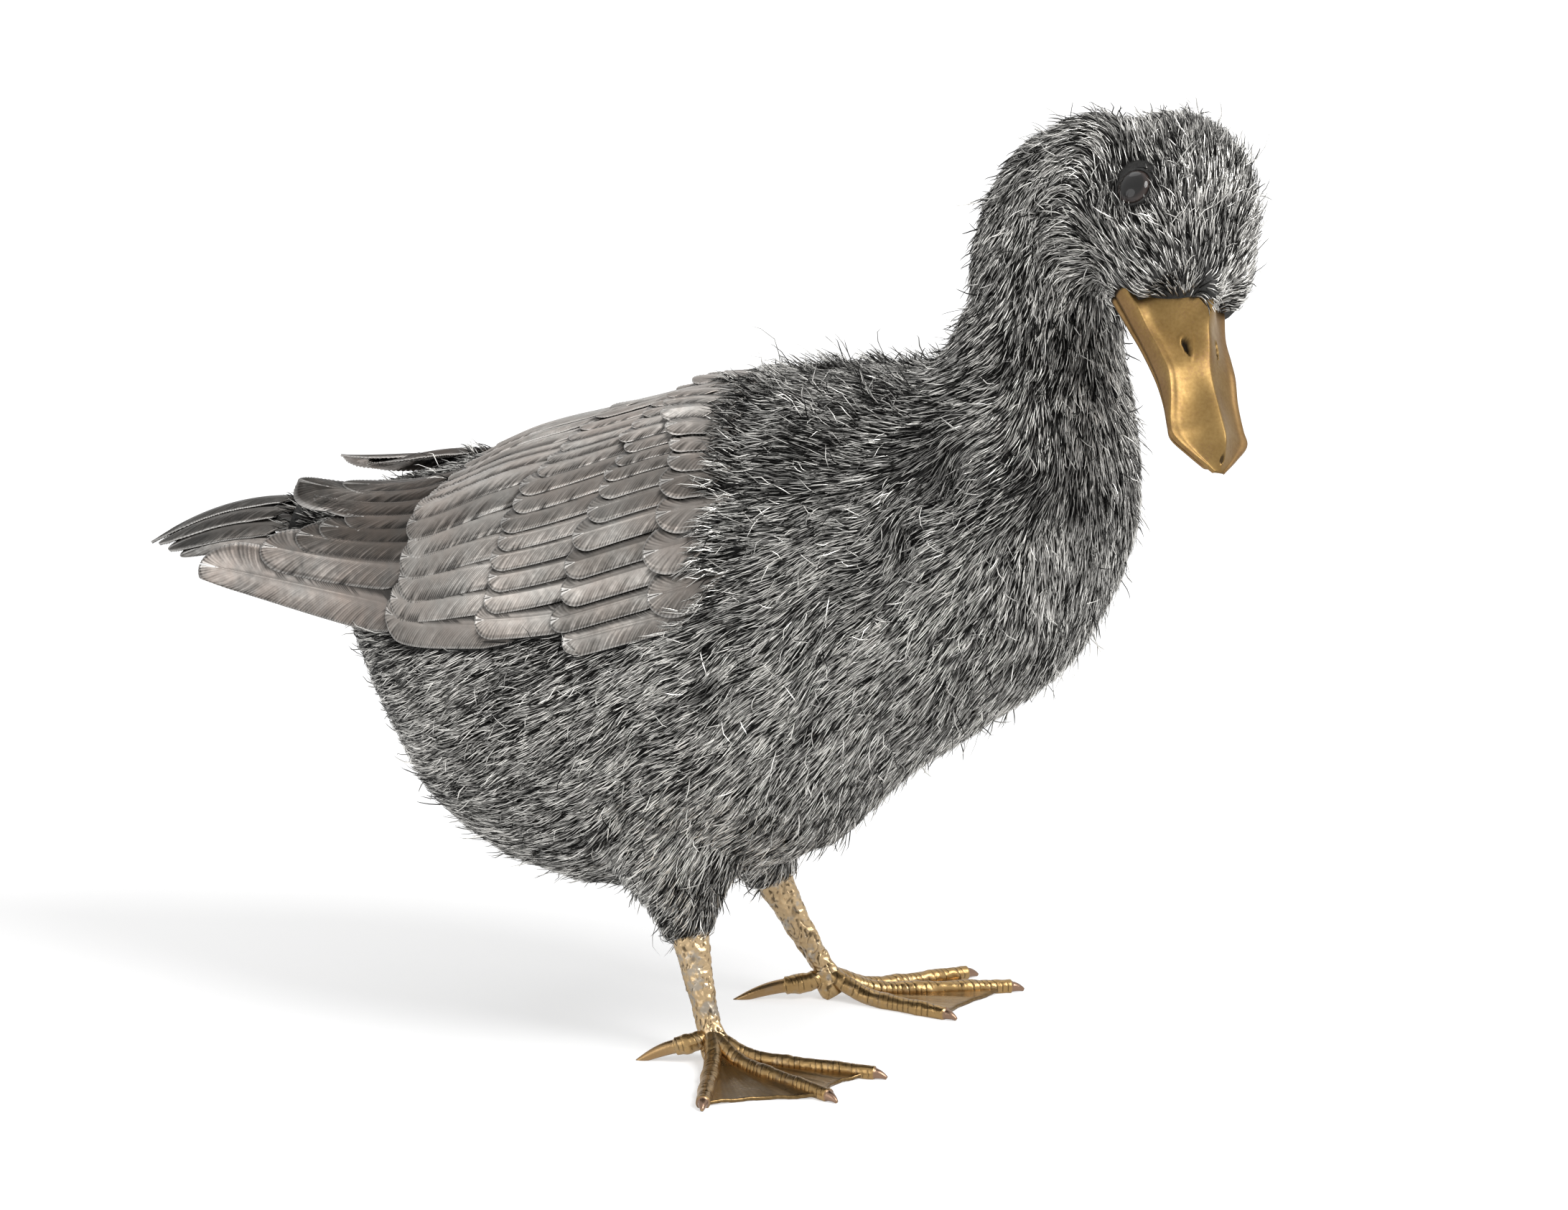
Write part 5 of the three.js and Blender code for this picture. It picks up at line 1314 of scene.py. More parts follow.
def makeShank(name):
    ankle, knee, axis, fore, aside = legAxes(name)
    steps, turns = limb["shankSteps"]
    down = np.linspace(0, 1, steps)
    table = np.array(limb["shank"])
    shares = np.interp(down, table[:, 0], np.linspace(0, 1, len(table)))
    across, along = smoothCurve(table[:, 1:])(shares).T[:, :, None]
    angle = around(turns)[None, :]
    length = np.linalg.norm(knee - ankle) - limb["shankEnd"]
    centre = knee - axis * (down[:, None, None] * length)
    outward = np.cos(angle)[..., None] * fore * along[..., None]
    outward = outward + np.sin(angle)[..., None] * aside * across[..., None]
    points = centre + outward
    pits = flaws(points, limb["flaw"], 3 if name == "right" else 5, mix(0.2, 1, smoothStep(0.5, 0.1, down))[:, None])
    (broad, broadDepth), (fine, fineDepth) = limb["shankGrain"]
    rough = ripples(points, broad, 11) * broadDepth + ripples(points, fine, 12) * fineDepth
    # a ridge runs down the front and a thin edge down the back
    front = np.maximum(np.cos(angle), 0) ** 6 * limb["ridge"]
    behind = np.maximum(-np.cos(angle), 0) ** 14 * (smoothStep(0.15, 0.4, down) * smoothStep(1, 0.8, down))[:, None]
    stand = rough + front + limb["flange"] * behind - limb["flawDepth"] * pits
    flat, quads, fans = closeTube(points + unit(outward) * stand[..., None])
    shape = stand.shape
    marks = {"hollow": tubeMark(np.clip(pits * 0.8 + 0.25 * behind, 0, 1), shape),
             "pale": tubeMark(np.clip(1.15 - down[:, None] * 0.5, 0, 1), shape, (1, 1)),
             "web": tubeMark(0, shape), "claw": tubeMark(0, shape)}
    piece = newPiece(f"shankChased_{name}", (flat + duckOrigin) * mm, [quads, fans], legFinish,
                     tubeUv(angle / (2 * math.pi), down[:, None]), marks)
    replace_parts(piece, f"shank_{name}")


def toeHeight(distance):
    # a toe's middle line leaves the leg high and comes down in a curve to lie on the floor
    low = limb["toe"]["tip"] * 0.75
    return low + (limb["toeStart"] - low) * np.exp(-((np.asarray(distance, float) / limb["toeDrop"]) ** 1.2))


def leanShift(height, lean):
    # the leg isn't upright, so what joins it higher up is moved along with it
    return np.maximum(np.asarray(height, float) - limb["ankleHeight"], 0)[..., None] * lean


def toeLine(angle, length, lean, start):
    direction = np.array([math.cos(math.radians(angle)), math.sin(math.radians(angle)), 0])

    def read(share):
        out = mix(start, length, np.asarray(share, float))
        height = toeHeight(out)
        return direction * out[..., None] + np.array([0, 0, 1]) * height[..., None] + leanShift(height, lean)

    return read


def tube(line, radius, rows, count):
    share = np.linspace(0, 1, rows)
    centre = line(share)
    ahead = unit(np.gradient(centre, axis=0))
    left = unit(np.cross([0, 0, 1], ahead))
    over = np.cross(ahead, left)
    turn = around(count)
    outward = np.cos(turn)[None, :, None] * over[:, None, :] + np.sin(turn)[None, :, None] * left[:, None, :]
    return share[:, None], turn[None, :], centre[:, None, :], outward, radius(share)[:, None]


def ringedToe(angle, length, lean, kind, seed):
    line = toeLine(angle, length, lean, kind["start"])
    claw = kind["claw"] + kind["clawShare"] * length
    clawShare = claw / length

    def point(share):
        # 0 where the claw starts, 1 at its tip
        return np.clip((np.asarray(share, float) - (1 - clawShare)) / clawShare, 0, 1)

    def bent(share):
        rise = kind["arch"] * np.sin(math.pi * np.asarray(share) ** 0.8) ** 1.3 - kind["clawDrop"] * point(share) ** 2
        return line(share) + np.array([0, 0, 1]) * rise[..., None]

    def size(share):
        # a toe ends bluntly round its claw
        swell = sum(limb["knuckleRise"] * np.exp(-((share - k) / limb["knuckleShare"]) ** 2)
                    for k in kind["knuckles"])
        blunt = mix(1, kind["clawWidth"], smoothStep(0, 0.5 / claw, point(share)))
        sunk = mix(0.7, 1, smoothStep(0, 0.1, share))
        thick = mix(kind["radius"], kind["tip"], share) + swell
        return thick * sunk * blunt * (1 - limb["clawThin"] * point(share) ** kind["clawTaper"])

    share, turn, centre, outward, radii = tube(bent, size, int(length * limb["toeRings"]), limb["toeTurns"])
    trunk = (share < 1 - clawShare) * smoothStep(0.0, 0.1, share)
    broken = smoothStep(-0.9, 0.1, ripples(centre + 2 * outward, 5, seed + 3))
    slant = share * length + limb["ringSlant"] * np.sin(turn)
    slant = slant + ripples(centre[:, 0], 6, seed)[:, None] * limb["ringWander"]
    ring = smoothStep(limb["ringStart"], 1.0, np.cos(2 * math.pi * slant / limb["ringPitch"])) * trunk * broken
    ring = ring * (np.cos(turn) > -0.5)
    grain, depth = limb["toeGrain"]
    rough = depth * ripples(centre + 2 * outward, grain, seed + 5) * trunk
    points = centre + outward * (radii + rough - ring * limb["ringDepth"])[..., None]
    points[..., 2] = np.maximum(points[..., 2], limb["floorGap"])
    flat, quads, fans = closeTube(points)
    marks = {
        "hollow": tubeMark(np.clip(ring * 0.85, 0, 1), ring.shape),
        "web": tubeMark(0.7 + 0.25 * share, ring.shape),
        "pale": tubeMark(0.5 - 0.5 * share, ring.shape),
        "claw": tubeMark(smoothStep(0, 0.1, point(share)) * kind["nail"], ring.shape),
    }
    return flat, [quads, fans], tubeUv(turn / (2 * math.pi), share), marks


def webSheet(first, second, seed, lean):
    rows, columns = limb["webSteps"]
    share, across = np.meshgrid(np.linspace(0.05, 1, rows), np.linspace(0, 1, columns), indexing="ij")
    angle = np.radians(mix(first[0], second[0], across))
    edge = limb["webReach"] * (1 - limb["webHollow"] * 4 * across * (1 - across))
    along = edge * share
    radius = mix(first[1], second[1], across) * along
    sag = 1 - limb["webSag"] * 4 * across * (1 - across) * smoothStep(0.05, 0.5, share)
    height = (toeHeight(radius) - limb["webSink"]) * sag
    count, depth = limb["webFolds"]
    folds = depth * np.cos(2 * math.pi * across * count + 2 * share) * smoothStep(0.1, 0.6, share)
    count, depth = limb["webLines"]
    fine = depth * np.cos(2 * math.pi * across * count + 3 * share + seed)
    thick = limb["webThickness"]
    height = np.maximum(height + folds + fine, thick * limb["webLow"])
    flat = np.stack([radius * np.cos(angle), radius * np.sin(angle)], -1)
    flat = flat + leanShift(toeHeight(radius), lean)[..., :2]
    top = np.concatenate([flat, (height + thick / 2)[..., None]], -1)
    bottom = np.concatenate([flat, (height - thick / 2)[..., None]], -1)
    creases = 0.2 * (fine < 0) * smoothStep(0.2, 0.6, share) + 0.5 * smoothStep(0.96, 1, share)
    none = np.zeros(2 * share.size)
    # the web's underside is painted darker, as shade under it
    marks = {"hollow": np.concatenate([np.clip(creases, 0, 1).ravel(), np.full(share.size, 0.5)]),
             "web": none + 1, "pale": none, "claw": none}
    uv = np.stack([across, share], -1).reshape(-1, 2)
    points = np.concatenate([top.reshape(-1, 3), bottom.reshape(-1, 3)])
    return points, [sheetFaces(rows, columns), np.zeros((0, 3), int)], np.concatenate([uv, uv]), marks


def footPiece(name, parts, ankle, node):
    points, groups, uvs, marks = packed(parts)
    world = (points + duckOrigin + np.array([*ankle, 0])) * mm
    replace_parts(newPiece(name, world, groups, legFinish, uvs, marks), node)


def ankleHub(name):
    # the knuckle where the toes meet, drawn up into the shank
    _, _, axis, fore, aside = legAxes(name)
    steps, turns = limb["hubSteps"]
    share, angle = np.linspace(0, 1, steps)[:, None], around(turns)[None, :]
    line = np.array([0, 0, limb["hubFoot"]]) + axis * (share * limb["hubHeight"])[..., None]
    size = smoothCurve(limb["hub"], even=True)(share[:, 0])
    outward = np.cos(angle)[..., None] * fore + np.sin(angle)[..., None] * aside
    points = line + outward * size[:, :, None]
    pits = flaws(points, 1.9, 9, 0.5)
    points = points - outward * (pits * limb["flawDepth"])[..., None]
    points[..., 2] = np.maximum(points[..., 2], limb["floorGap"])
    flat, quads, fans = closeTube(points)
    marks = {"hollow": tubeMark(0.8 * pits, pits.shape), "web": np.full(len(flat), 0.25),
             "pale": np.full(len(flat), 0.3), "claw": np.zeros(len(flat))}
    return flat, [quads[:, ::-1], fans[:, ::-1]], tubeUv(angle / (2 * math.pi), share), marks


def makeFoot(name):
    spec = legs[name]
    ankle, knee, *_ = legAxes(name)
    lean = (knee - ankle) / (body["kneeHeight"] - limb["ankleHeight"]) * np.array([1, 1, 0])
    toes = [ringedToe(*toe, lean, limb["toe"], 20 + k) for k, toe in enumerate(spec["toes"])]
    webs = [webSheet(*spec["toes"][k:k + 2], k, lean) for k in range(2)]
    footPiece(f"footGilt_{name}", [ankleHub(name)] + toes + webs, spec["ankle"], f"foot_{name}")
    hind = ringedToe(*spec["hind"], lean, limb["hindToe"], 33)
    footPiece(f"hindToeGilt_{name}", [hind], spec["ankle"], f"hind_toe_{name}")


for name in legs:
    makeShank(name)
    makeFoot(name)
print("legs and feet are made")


# The coat: soldered wires, combed over the shells

coat = {
    "seed": 7,
    "wires": 158000,
    "width": 0.42,
    "thickness": 0.2,
    "shares": (0, 0.3, 0.58, 0.82, 1),  # where along a wire its rings and its tip lie
    "taper": (0.85, 1, 0.95, 0.62),
    "rise": (-0.3, 0.7, 1.3, 1.7, 1.9),
    "spread": 0.55,  # how unevenly high the wires lie
    "strayShare": 0.05, "strayRise": (1.3, 2.7),
    "clumpSize": 6,  # wires in a lock
    "clumpPull": 0.16, "clumpUneven": (0.3, 1.2), "clumpReach": 5, "clumpWidth": 0.35,
    "perPiece": 8800,
    "overLine": 0.9,
    "coverReach": 8,  # no wire stands where a feather lies this close over the shell
    "billGaps": (0.8, 2.2), "billSplit": 30,  # bare gaps at the bill, behind and ahead of the split
    "bareBack": {"x": (-85, -28), "half": 13, "over": 140},  # where the feathers of both wings meet
    "curlRise": 1.6, "crownCurl": 0.7, "curlShare": 0.5, "crownFrom": (225, 245),
    "backCurl": {"facing": (0.55, 0.9), "over": (150, 165), "behind": (75, 60)},
    "nearWing": (30, 60),  # behind and over this, a wire may lie on the front coverts
    "tuft": 0.35,  # the ridge of the back carries small curls where a slow noise passes this
    "voxel": 1.4, "relax": 0.6, "relaxSteps": 14, "skinGap": 0.6,
    "fullLength": 6,  # wires shorter than this lie lower
    "drift": 0.07, "strayDrift": 0.3, "twist": 0.5,  # in radians
    "uneven": (0.75, 1.15),  # thinner and thicker wires
    "lookFrom": 6, "lookReach": 14,  # how far above its next spot a wire looks for the skin, and how deep
    "turns": {"broad": 9, "small": 6, "each": 7, "stray": 26, "curl": 35},  # degrees off the combed direction
    "zones": {"head": 42, "neckOver": 185, "front": 60, "thighUnder": 24, "thighX": -12, "thighHalf": 26},
}
lengths = {
    "head": 7.6, "billEdge": 4.4, "neck": 7.4, "body": 8.8, "thigh": 7.6,
    "neckFrom": (26, 45), "bodyFrom": (70, 110), "billFrom": (16, 34), "thighUnder": (12, 22),
    "tail": 0.55, "tailFrom": (-135, -150),  # shares of the length, and where they hold
    "rump": 0.65, "rumpFrom": (-85, -100), "rumpOver": (115, 128),
    "uneven": (0.7, 1.25),
}
tones = {
    "middle": 0.45, "broad": 0.09, "small": 0.06, "lock": 0.35,
    "single": (0.42, 0.36),  # on the body and on the head
    # painted shade and painted light: how much darker or paler each part is, then by which of its heights, places or
    # facings
    "crown": 0.07, "crownFacing": (-0.2, 0.8), "cheek": 0.12, "cheekFacing": (0.4, -0.3), "headReach": (48, 36),
    "back": 0.2, "backFacing": (0.1, 0.8), "backOver": (90, 130), "tail": 0.18, "tailFrom": (-90, -130),
    "nape": 0.07, "napeOver": (185, 200), "thigh": 0.09, "thighUnder": (26, 12),
    "belly": 0.05, "bellyFacing": (-0.1, -0.6),
    "flank": 0.09, "flankFacing": (0.3, 0.8), "flankUnder": 150, "flankFrom": (-60, 0),
    "power": 1.3, "partingShade": 0.75, "billEdge": 0.22,
}
combGuides = [  # place, direction and reach of each stroke, for the right side; mirrored to the left
    ((70, 8, 222), (-0.5, 0, -0.85), 26), ((100, 20, 205), (-0.2, 0, -1), 24),
    ((122, 0, 205), (0.05, 0, -1), 26), ((122, 12, 165), (-0.05, 0, -1), 28),
    ((112, 30, 125), (-0.35, 0, -0.94), 30), ((92, 25, 78), (-0.65, 0, -0.76), 32),
    ((50, 0, 186), (-1, 0, -0.16), 34), ((62, 30, 180), (-0.96, 0.1, -0.25), 22),
    ((78, 40, 165), (-0.75, 0, -0.62), 20), ((70, 42, 140), (-0.8, 0, -0.6), 26),
    ((30, 52, 168), (-1, 0, -0.05), 24), ((20, 62, 140), (-0.92, 0, -0.38), 28),
    ((55, 55, 110), (-0.74, 0, -0.66), 32), ((15, 64, 85), (-0.78, 0, -0.62), 34),
    ((-45, 62, 70), (-0.86, 0, -0.5), 38), ((-85, 50, 60), (-0.85, 0, -0.52), 36),
    ((40, 45, 45), (-0.72, 0, -0.69), 32), ((-10, 50, 35), (-0.7, 0, -0.7), 30),
    ((0, 0, 16), (-1, 0, 0.1), 32), ((-70, 10, 14), (-1, 0, 0.3), 36),
    ((-125, 10, 70), (-0.8, 0, -0.1), 34), ((-60, 10, 165), (-1, 0, -0.2), 40),
    ((-120, 0, 130), (-0.95, 0, -0.2), 34), ((-12, 36, 12), (-0.25, 0, -1), 20),
    ((-12, 36, 26), (-0.4, 0, -0.95), 18),
]
partings = [  # place and reach of the partings at the foot of the neck, where the wires are darkened as painted shade, and how far the wires turn there
    ((79, -40, 168), 9, 50), ((105, -30, 160), 8, -45), ((69, -52, 147), 7, 60), ((76, 42, 166), 9, -50),
]


def skinMesh():
    # one smooth skin over the coated shells, kept only while the coat is made
    bare = ("eye_socket", "body_shell")
    names = [node for node, slot in nodeSlots.items() if slot == "fur_silver" and not node.startswith(bare)]
    under = [frame["nodes"][n] for n in names] + shellPieces + [billPieces[0], muzzlePiece]
    points, faces = [], []
    first = 0
    for data in (piece.data for piece in under):
        points += [tuple(v.co) for v in data.vertices]
        faces += [[k + first for k in polygon.vertices] for polygon in data.polygons]
        first += len(data.vertices)
    mesh = bpy.data.meshes.new("skin")
    mesh.from_pydata(points, [], faces)
    skin = bpy.data.objects.new("skin", mesh)
    bpy.context.collection.objects.link(skin)
    remesh = skin.modifiers.new("remesh", "REMESH")
    remesh.mode = "VOXEL"
    remesh.voxel_size = coat["voxel"] * mm
    relax = skin.modifiers.new("relax", "SMOOTH")
    relax.factor = coat["relax"]
    relax.iterations = coat["relaxSteps"]
    smooth = skin.evaluated_get(bpy.context.evaluated_depsgraph_get()).to_mesh()
    smooth.calc_loop_triangles()
    co = np.empty(len(smooth.vertices) * 3, np.float32)
    smooth.vertices.foreach_get("co", co)
    tris = np.empty(len(smooth.loop_triangles) * 3, np.int32)
    smooth.loop_triangles.foreach_get("vertices", tris)
    bpy.data.objects.remove(skin)
    return co.reshape(-1, 3).astype(float), tris.reshape(-1, 3)


def treeOf(points, triangles):
    return BVHTree.FromPolygons([tuple(p) for p in points], [tuple(int(k) for k in t) for t in triangles])


def openFaces(centres, normals, tree):
    # faces that see out past the skin, so not those inside the hollow shells
    keep = np.zeros(len(centres), bool)
    across = unit(np.cross(normals, [0.3, 0.2, 0.93]))
    over = np.cross(normals, across)
    for k, (centre, normal) in enumerate(zip(centres, normals)):
        start = Vector(centre + normal * (coat["skinGap"] * mm))
        for a, b in ((0, 0), (0.8, 0), (-0.8, 0), (0, 0.8), (0, -0.8)):
            if tree.ray_cast(start, Vector(normal + a * across[k] + b * over[k]))[0] is None:
                keep[k] = True
                break
    return keep


def billSpot(ahead, up):
    return billMiddle - upperOrigin + billTurn.T @ np.array([ahead, 0, up], float)


def combDirection(points):
    # the lie of the coat at points, in the duck's own millimetres above the knees
    away = unit(points - billSpot(62, -10))
    nearTip = np.exp(-(np.linalg.norm(points - billSpot(36, 10), axis=1) / 9) ** 2)
    away = unit(away + 1.4 * nearTip[:, None] * billTurn[2])
    total = np.zeros_like(points)
    weight = np.zeros(len(points))
    for place, direction, reach in combGuides:
        for side in ((1, -1) if place[1] else (1,)):
            spot = np.array(place, float) * np.array([1, side, 1])
            lie = unit(np.array(direction, float) * np.array([1, side, 1]))
            w = np.exp(-(np.linalg.norm(points - spot, axis=1) / reach) ** 2) + 1e-6
            total += lie * w[:, None]
            weight += w
    flow = unit(total / weight[:, None])
    toHead = 1 - smoothStep(25, 47, np.linalg.norm(points - (headMiddle - upperOrigin), axis=1))
    return unit(mix(flow, away, toHead[:, None]))


def spreadRoots(rng, corners, skin):
    # roots spread evenly over the skin's outside, and the skin's normals there
    cross = np.cross(corners[:, 1] - corners[:, 0], corners[:, 2] - corners[:, 0])
    area = np.linalg.norm(cross, axis=1) / 2
    normals = unit(cross)
    keep = openFaces(corners.mean(1), normals, skin)
    print(f"skin has {len(corners)} faces, {keep.sum()} of them outside, {area[keep].sum() / mm**2:.0f} mm2")
    weight = np.where(keep, area, 0)
    chosen = rng.choice(len(corners), coat["wires"], p=weight / weight.sum())
    u, v = rng.random((2, coat["wires"]))
    flip = u + v > 1
    u[flip], v[flip] = 1 - u[flip], 1 - v[flip]
    tri = corners[chosen]
    roots = tri[:, 0] + u[:, None] * (tri[:, 1] - tri[:, 0]) + v[:, None] * (tri[:, 2] - tri[:, 0])
    return roots, normals[chosen]


def freeRoots(roots, normals, covers):
    # no wires under feathers, the bill or the eyes
    reach = coat["coverReach"] * mm
    free = np.array([covers.ray_cast(Vector(root), Vector(normal), reach)[0] is None
                     for root, normal in zip(roots, normals)])
    ahead, width = billPlace(roots / mm)
    billTree = piecesTree(billPieces)
    # the foremost wires stand on the dark line
    line = coatLine(width) + coat["overLine"] * np.minimum(1, 3 * np.abs(width))
    for k in np.flatnonzero((ahead > bill["coatAtSide"]) & (ahead > line)):
        gap = coat["billGaps"][0 if ahead[k] < coat["billSplit"] else 1]
        if billTree.find_nearest(Vector(roots[k]), gap * mm)[0] is not None:
            free[k] = False
    for seat, _ in eyePlaces.values():
        free &= np.linalg.norm(roots / mm - seat, axis=1) > eye["bare"]
    bare = coat["bareBack"]
    x, y, z = (roots / mm - upperOrigin).T
    return free & ~((x > bare["x"][0]) & (x < bare["x"][1]) & (np.abs(y) < bare["half"]) & (z > bare["over"]))


def wireLengths(local, fromHead, fromBill):
    length = mix(lengths["head"], lengths["neck"], smoothStep(*lengths["neckFrom"], fromHead))
    length = mix(length, lengths["body"], smoothStep(*lengths["bodyFrom"], fromHead))
    length = mix(lengths["billEdge"], length, smoothStep(*lengths["billFrom"], fromBill))
    length = mix(lengths["thigh"], length, smoothStep(*lengths["thighUnder"], local[:, 2]))
    length = length * mix(1, lengths["tail"], smoothStep(*lengths["tailFrom"], local[:, 0]))
    onRump = smoothStep(*lengths["rumpFrom"], local[:, 0]) * smoothStep(*lengths["rumpOver"], local[:, 2])
    return length * mix(1, lengths["rump"], onRump)


def landing(spot, normal, skin, covers):
    # where a wire's next spot lies on the skin, or on feathers that lie over it, and which way that place faces
    start, down = Vector(spot + normal * coat["lookFrom"] * mm), Vector(-normal)
    hit, face, _, gap = skin.ray_cast(start, down, coat["lookReach"] * mm)
    if covers is not None:
        over, overFace, _, overGap = covers.ray_cast(start, down, coat["lookReach"] * mm)
        if over is not None and (hit is None or overGap < gap) and overFace.dot(down) < 0:
            hit, face = over, overFace
    return hit, face


def walkWires(rng, roots, rootNormals, length, skin, covers):
    # five points along each wire, over the skin and the front coverts, with the skin's normals there
    count, local = len(roots), roots / mm - upperOrigin
    x, _, z = local.T
    nearWing = (x < coat["nearWing"][0]) & (z > coat["nearWing"][1])
    stray = rng.random(count) < coat["strayShare"]
    fluff = rng.uniform(1 - coat["spread"], 1 + coat["spread"], count) * (1 + 0.2 * ripples(local, 14, 31))
    fluff = np.where(stray, fluff * rng.uniform(*coat["strayRise"], count), fluff)
    spec = coat["backCurl"]
    onBack = smoothStep(*spec["facing"], rootNormals[:, 2]) * smoothStep(*spec["over"], z)
    onBack = onBack * smoothStep(*spec["behind"], x)
    onCrown = smoothStep(*coat["crownFrom"], z)
    ruffled = smoothStep(coat["tuft"], coat["tuft"] + 0.3, ripples(local, 7, 34))
    ruffled = ruffled * (rng.random(count) < coat["curlShare"])
    curl = np.maximum(onBack, coat["crownCurl"] * onCrown) * ruffled
    fluff = fluff * (1 + coat["curlRise"] * curl)
    turns = coat["turns"]
    bend = np.radians(turns["broad"] * ripples(local, 24, 32) + turns["small"] * ripples(local, 8, 33)
                      + rng.normal(0, turns["each"], count) + stray * rng.normal(0, turns["stray"], count)
                      + curl * rng.normal(0, turns["curl"], count))
    partingShade = np.zeros(count)
    for place, size, turn in partings:
        nearness = np.exp(-(np.linalg.norm(local - np.array(place, float), axis=1) / size) ** 2)
        bend = bend + np.radians(turn) * nearness
        partingShade = np.maximum(partingShade, nearness)
    paths, lifts = np.empty((2, count, 5, 3))
    spot, normal = roots.copy(), rootNormals.copy()
    steps = np.diff(coat["shares"])
    scale = np.minimum(1, length / coat["fullLength"])
    for step, rise in enumerate(coat["rise"]):
        if step:
            comb = combDirection(spot / mm - upperOrigin)
            comb = unit(comb - normal * (comb * normal).sum(1, keepdims=True))
            turned = comb * np.cos(bend)[:, None] + np.cross(normal, comb) * np.sin(bend)[:, None]
            spot = spot + turned * (length * steps[step - 1] * mm)[:, None]
            for k in range(count):
                hit, face = landing(spot[k], normal[k], skin, covers if nearWing[k] else None)
                if hit is not None:
                    spot[k] = hit
                    normal[k] = normal[k] * 0.4 + np.array(face) * 0.6
            normal = unit(normal)
            bend = bend + rng.normal(0, coat["drift"], count)
            bend = bend + (stray + curl) * rng.normal(0, coat["strayDrift"], count)
        paths[:, step] = spot + normal * (rise * fluff * scale * mm)[:, None]
        lifts[:, step] = normal
    print("wires are walked")
    return paths, lifts, partingShade


def drawLocks(rng, roots, paths):
    # neighbouring wires lean together in small locks, each towards its lock's first wire
    count = len(roots)
    leaders = kdtree.KDTree(count)
    for k in rng.choice(count, int(count / coat["clumpSize"]), replace=False):
        leaders.insert(Vector(roots[k]), int(k))
    leaders.balance()
    lead = np.array([leaders.find(Vector(root))[1] for root in roots])
    pull = coat["clumpPull"] * rng.uniform(*coat["clumpUneven"], count)
    for step in range(1, 5):
        drawn = paths[lead, step] + (roots - roots[lead]) * coat["clumpWidth"]
        near = np.linalg.norm(paths[lead, step] - paths[:, step], axis=1) < coat["clumpReach"] * mm
        paths[:, step] = mix(paths[:, step], drawn, (pull * coat["shares"][step] * near)[:, None])
    return lead


def wireTones(rng, local, normals, fromHead, lead, partingShade):
    # brightness: broad patches, locks and single wires, with painted shade and painted light by how each part faces
    # and where it lies
    x, _, z = local.T
    upward, onHead = normals[:, 2], smoothStep(*tones["headReach"], fromHead)
    tone = tones["middle"] + tones["broad"] * ripples(local, 26, 51) + tones["small"] * ripples(local, 8, 52)
    tone = tone + tones["lock"] * (rng.random(len(local))[lead] - 0.5)
    # painted shade and painted light: the crown darker and the cheeks paler as they face, the back, tail, nape,
    # thighs and belly darker
    tone = tone - tones["crown"] * onHead * smoothStep(*tones["crownFacing"], upward)
    tone = tone + tones["cheek"] * onHead * smoothStep(*tones["cheekFacing"], upward)
    onBack = tones["back"] * smoothStep(*tones["backFacing"], upward) * (1 - onHead)
    tone = tone - onBack * smoothStep(*tones["backOver"], z)
    tone = tone - tones["tail"] * smoothStep(*tones["tailFrom"], x)
    tone = tone - tones["nape"] * smoothStep(*tones["napeOver"], z) * (1 - onHead)
    tone = tone - tones["thigh"] * smoothStep(*tones["thighUnder"], z)
    tone = tone - tones["belly"] * smoothStep(*tones["bellyFacing"], upward)
    # painted light: the flanks paler where they face aside
    onFlank = tones["flank"] * smoothStep(*tones["flankFacing"], np.abs(normals[:, 1])) * (z < tones["flankUnder"])
    tone = tone + onFlank * smoothStep(*tones["flankFrom"], x)
    tone = tone + rng.normal(0, 1, len(local)) * mix(*tones["single"], onHead)
    # the wires at the partings are darkened as painted shade
    return np.clip(tone, 0.02, 1) ** tones["power"] * (1 - tones["partingShade"] * partingShade)


def wireSolids(rng, paths, lifts):
    # three-sided wires with a pointed tip, 13 points each
    ahead = unit(np.gradient(paths, axis=1))
    twist = rng.normal(0, coat["twist"], len(paths))[:, None, None]
    aside = unit(np.cross(ahead, lifts))
    aside = aside * np.cos(twist) + np.cross(aside, ahead) * np.sin(twist)
    over = np.cross(aside, ahead)
    thick = rng.uniform(*coat["uneven"], len(paths))
    rings = []
    for step, taper in enumerate(coat["taper"]):
        wide = (coat["width"] * taper * thick / 2 * mm)[:, None]
        deep = (coat["thickness"] * taper * thick * mm)[:, None]
        centre = paths[:, step]
        rings += [centre - aside[:, step] * wide, centre + aside[:, step] * wide, centre + over[:, step] * deep]
    return np.stack(rings + [paths[:, 4]], 1)


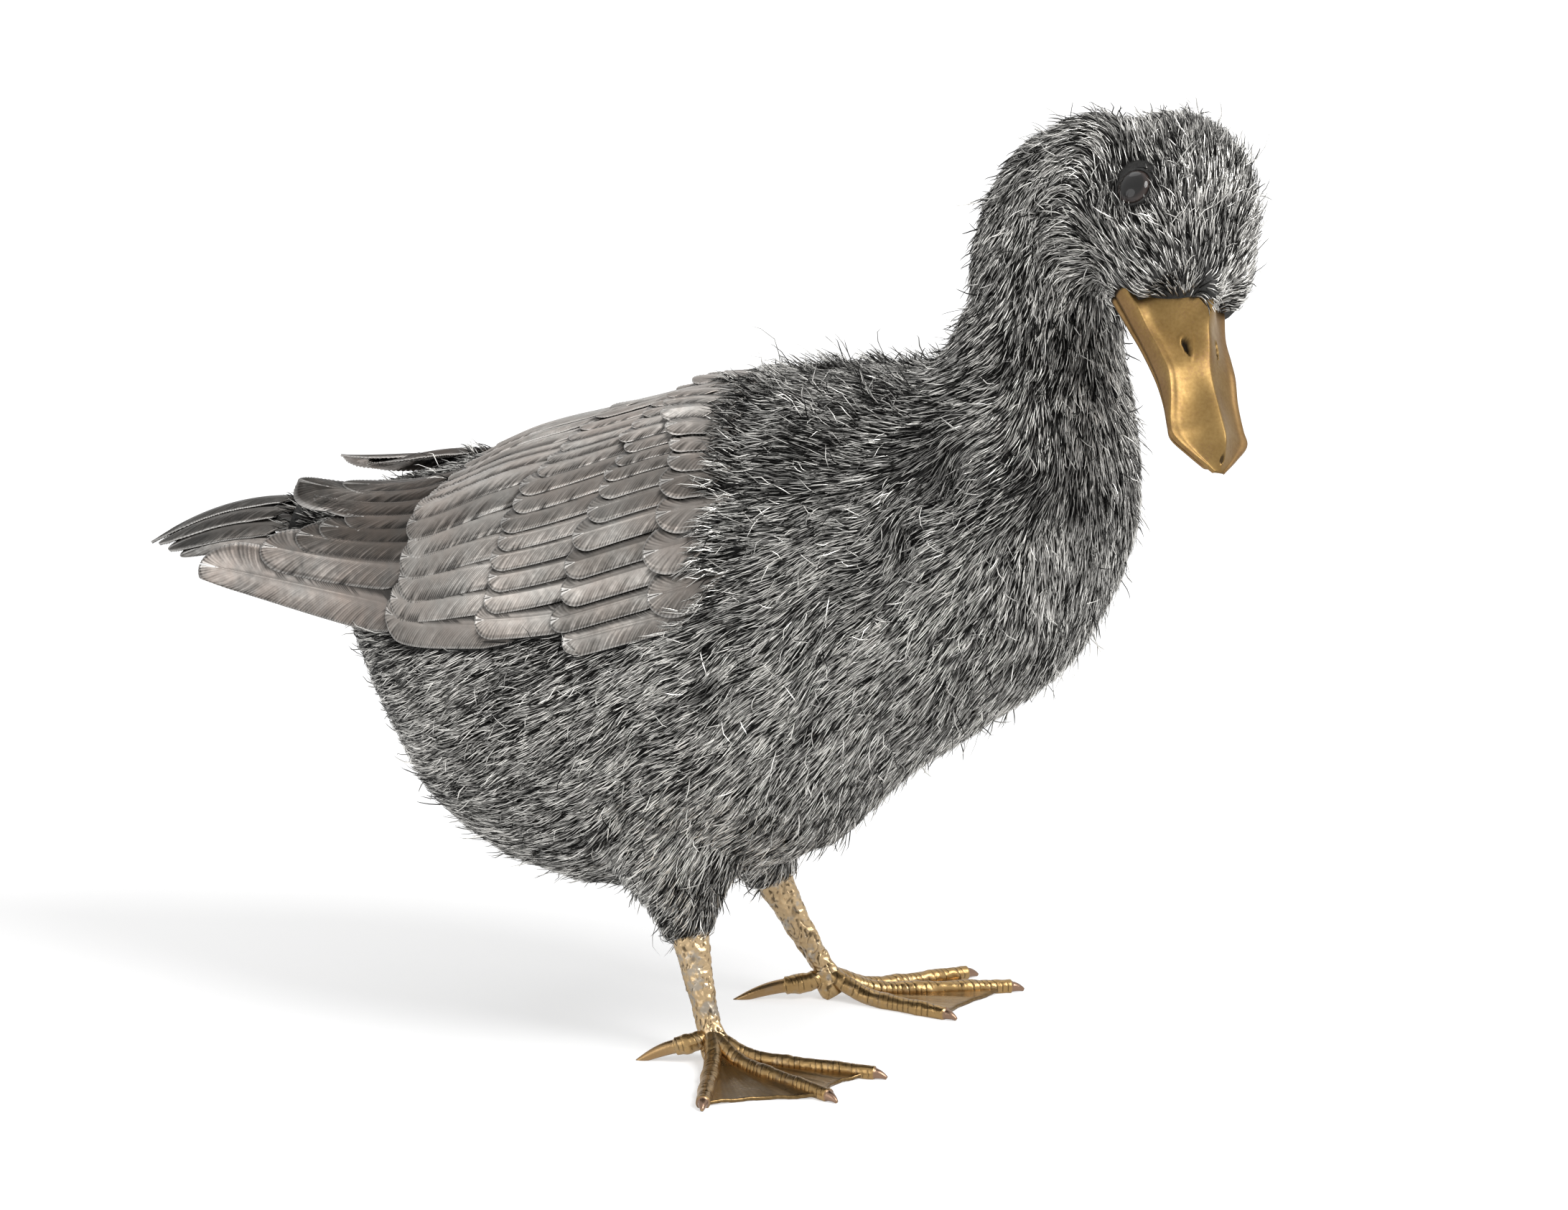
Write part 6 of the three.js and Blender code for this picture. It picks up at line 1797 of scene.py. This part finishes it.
def coatPieces(wires, tone, bright, local, fromHead):
    reachMark = np.append(np.repeat(coat["shares"][:4], 3), 1.0)
    sideMark = np.array([0.0, 0.5, 1.0] * 4 + [0.5])
    quads = np.array([[3 * i + j, 3 * i + (j + 1) % 3, 3 * i + 3 + (j + 1) % 3, 3 * i + 3 + j]
                      for i in range(3) for j in range(3)])
    tips = np.array([[9 + j, 9 + (j + 1) % 3, 12] for j in range(3)] + [[2, 1, 0]])
    corners = wires.shape[1]
    x, y, z = local.T
    spec = coat["zones"]
    onThigh = (z < spec["thighUnder"]) & (np.abs(x - spec["thighX"]) < spec["thighHalf"])
    front = x > spec["front"]
    zones = np.select([onThigh, fromHead < spec["head"], front & (z > spec["neckOver"]), front],
                      ["thigh", "head", "neck", "breast"], "flank")
    for zone in ("head", "neck", "flank", "breast", "thigh"):
        members = np.flatnonzero(zones == zone)
        # from the tail to the bill, the right side before the left
        order = members[np.argsort(x[members] + 400 * (y[members] > 0))]
        for number, part in enumerate(np.array_split(order, math.ceil(len(order) / coat["perPiece"])), 1):
            place = np.arange(len(part))
            base = place[:, None, None] * corners
            # each wire has a cell of its own on the bake map
            cells = math.ceil(math.sqrt(len(part)))
            cell = np.stack([place % cells, place // cells], -1)[:, None, :]
            uv = (cell + 0.1 + 0.8 * np.stack([sideMark, reachMark], -1)[None]) / cells
            marks = {"tone": np.repeat(tone[part], corners), "reach": (reachMark + bright[part][:, None]).ravel()}
            newPiece(f"coat_{zone}_{number}", wires[part].reshape(-1, 3),
                     [(quads[None] + base).reshape(-1, 4), (tips[None] + base).reshape(-1, 3)], wireFinish,
                     uv.reshape(-1, 2), marks)


def makeCoat():
    rng = np.random.default_rng(coat["seed"])
    points, triangles = skinMesh()
    skin = treeOf(points, triangles)
    covers = piecesTree(featherPieces + panels)
    roots, normals = spreadRoots(rng, points[triangles], skin)
    free = freeRoots(roots, normals, covers)
    roots, normals = roots[free], normals[free]
    local = roots / mm - upperOrigin
    print(f"{len(roots)} wires")
    fromHead = np.linalg.norm(local - (headMiddle - upperOrigin), axis=1)
    fromBill = np.linalg.norm(local - billSpot(36, -3), axis=1)
    length = wireLengths(local, fromHead, fromBill) * rng.uniform(*lengths["uneven"], len(roots))
    paths, lifts, partingShade = walkWires(rng, roots, normals, length, skin, covers)
    lead = drawLocks(rng, roots, paths)
    tone = wireTones(rng, local, normals, fromHead, lead, partingShade)
    # the wires along the bill are bright down to their roots, without the painted shade there
    ahead, width = billPlace(roots / mm)
    bright = tones["billEdge"] * smoothStep(7, 1, coatLine(width) - ahead) * (fromBill < 32)
    coatPieces(wireSolids(rng, paths, lifts), tone, bright, local, fromHead)
    print("coat is made")


makeCoat()

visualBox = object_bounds()
boxes = {"cad": cadBox, "visual": visualBox}
{name: [list(corner) for corner in box] for name, box in boxes.items()}
print("the duck is finished")
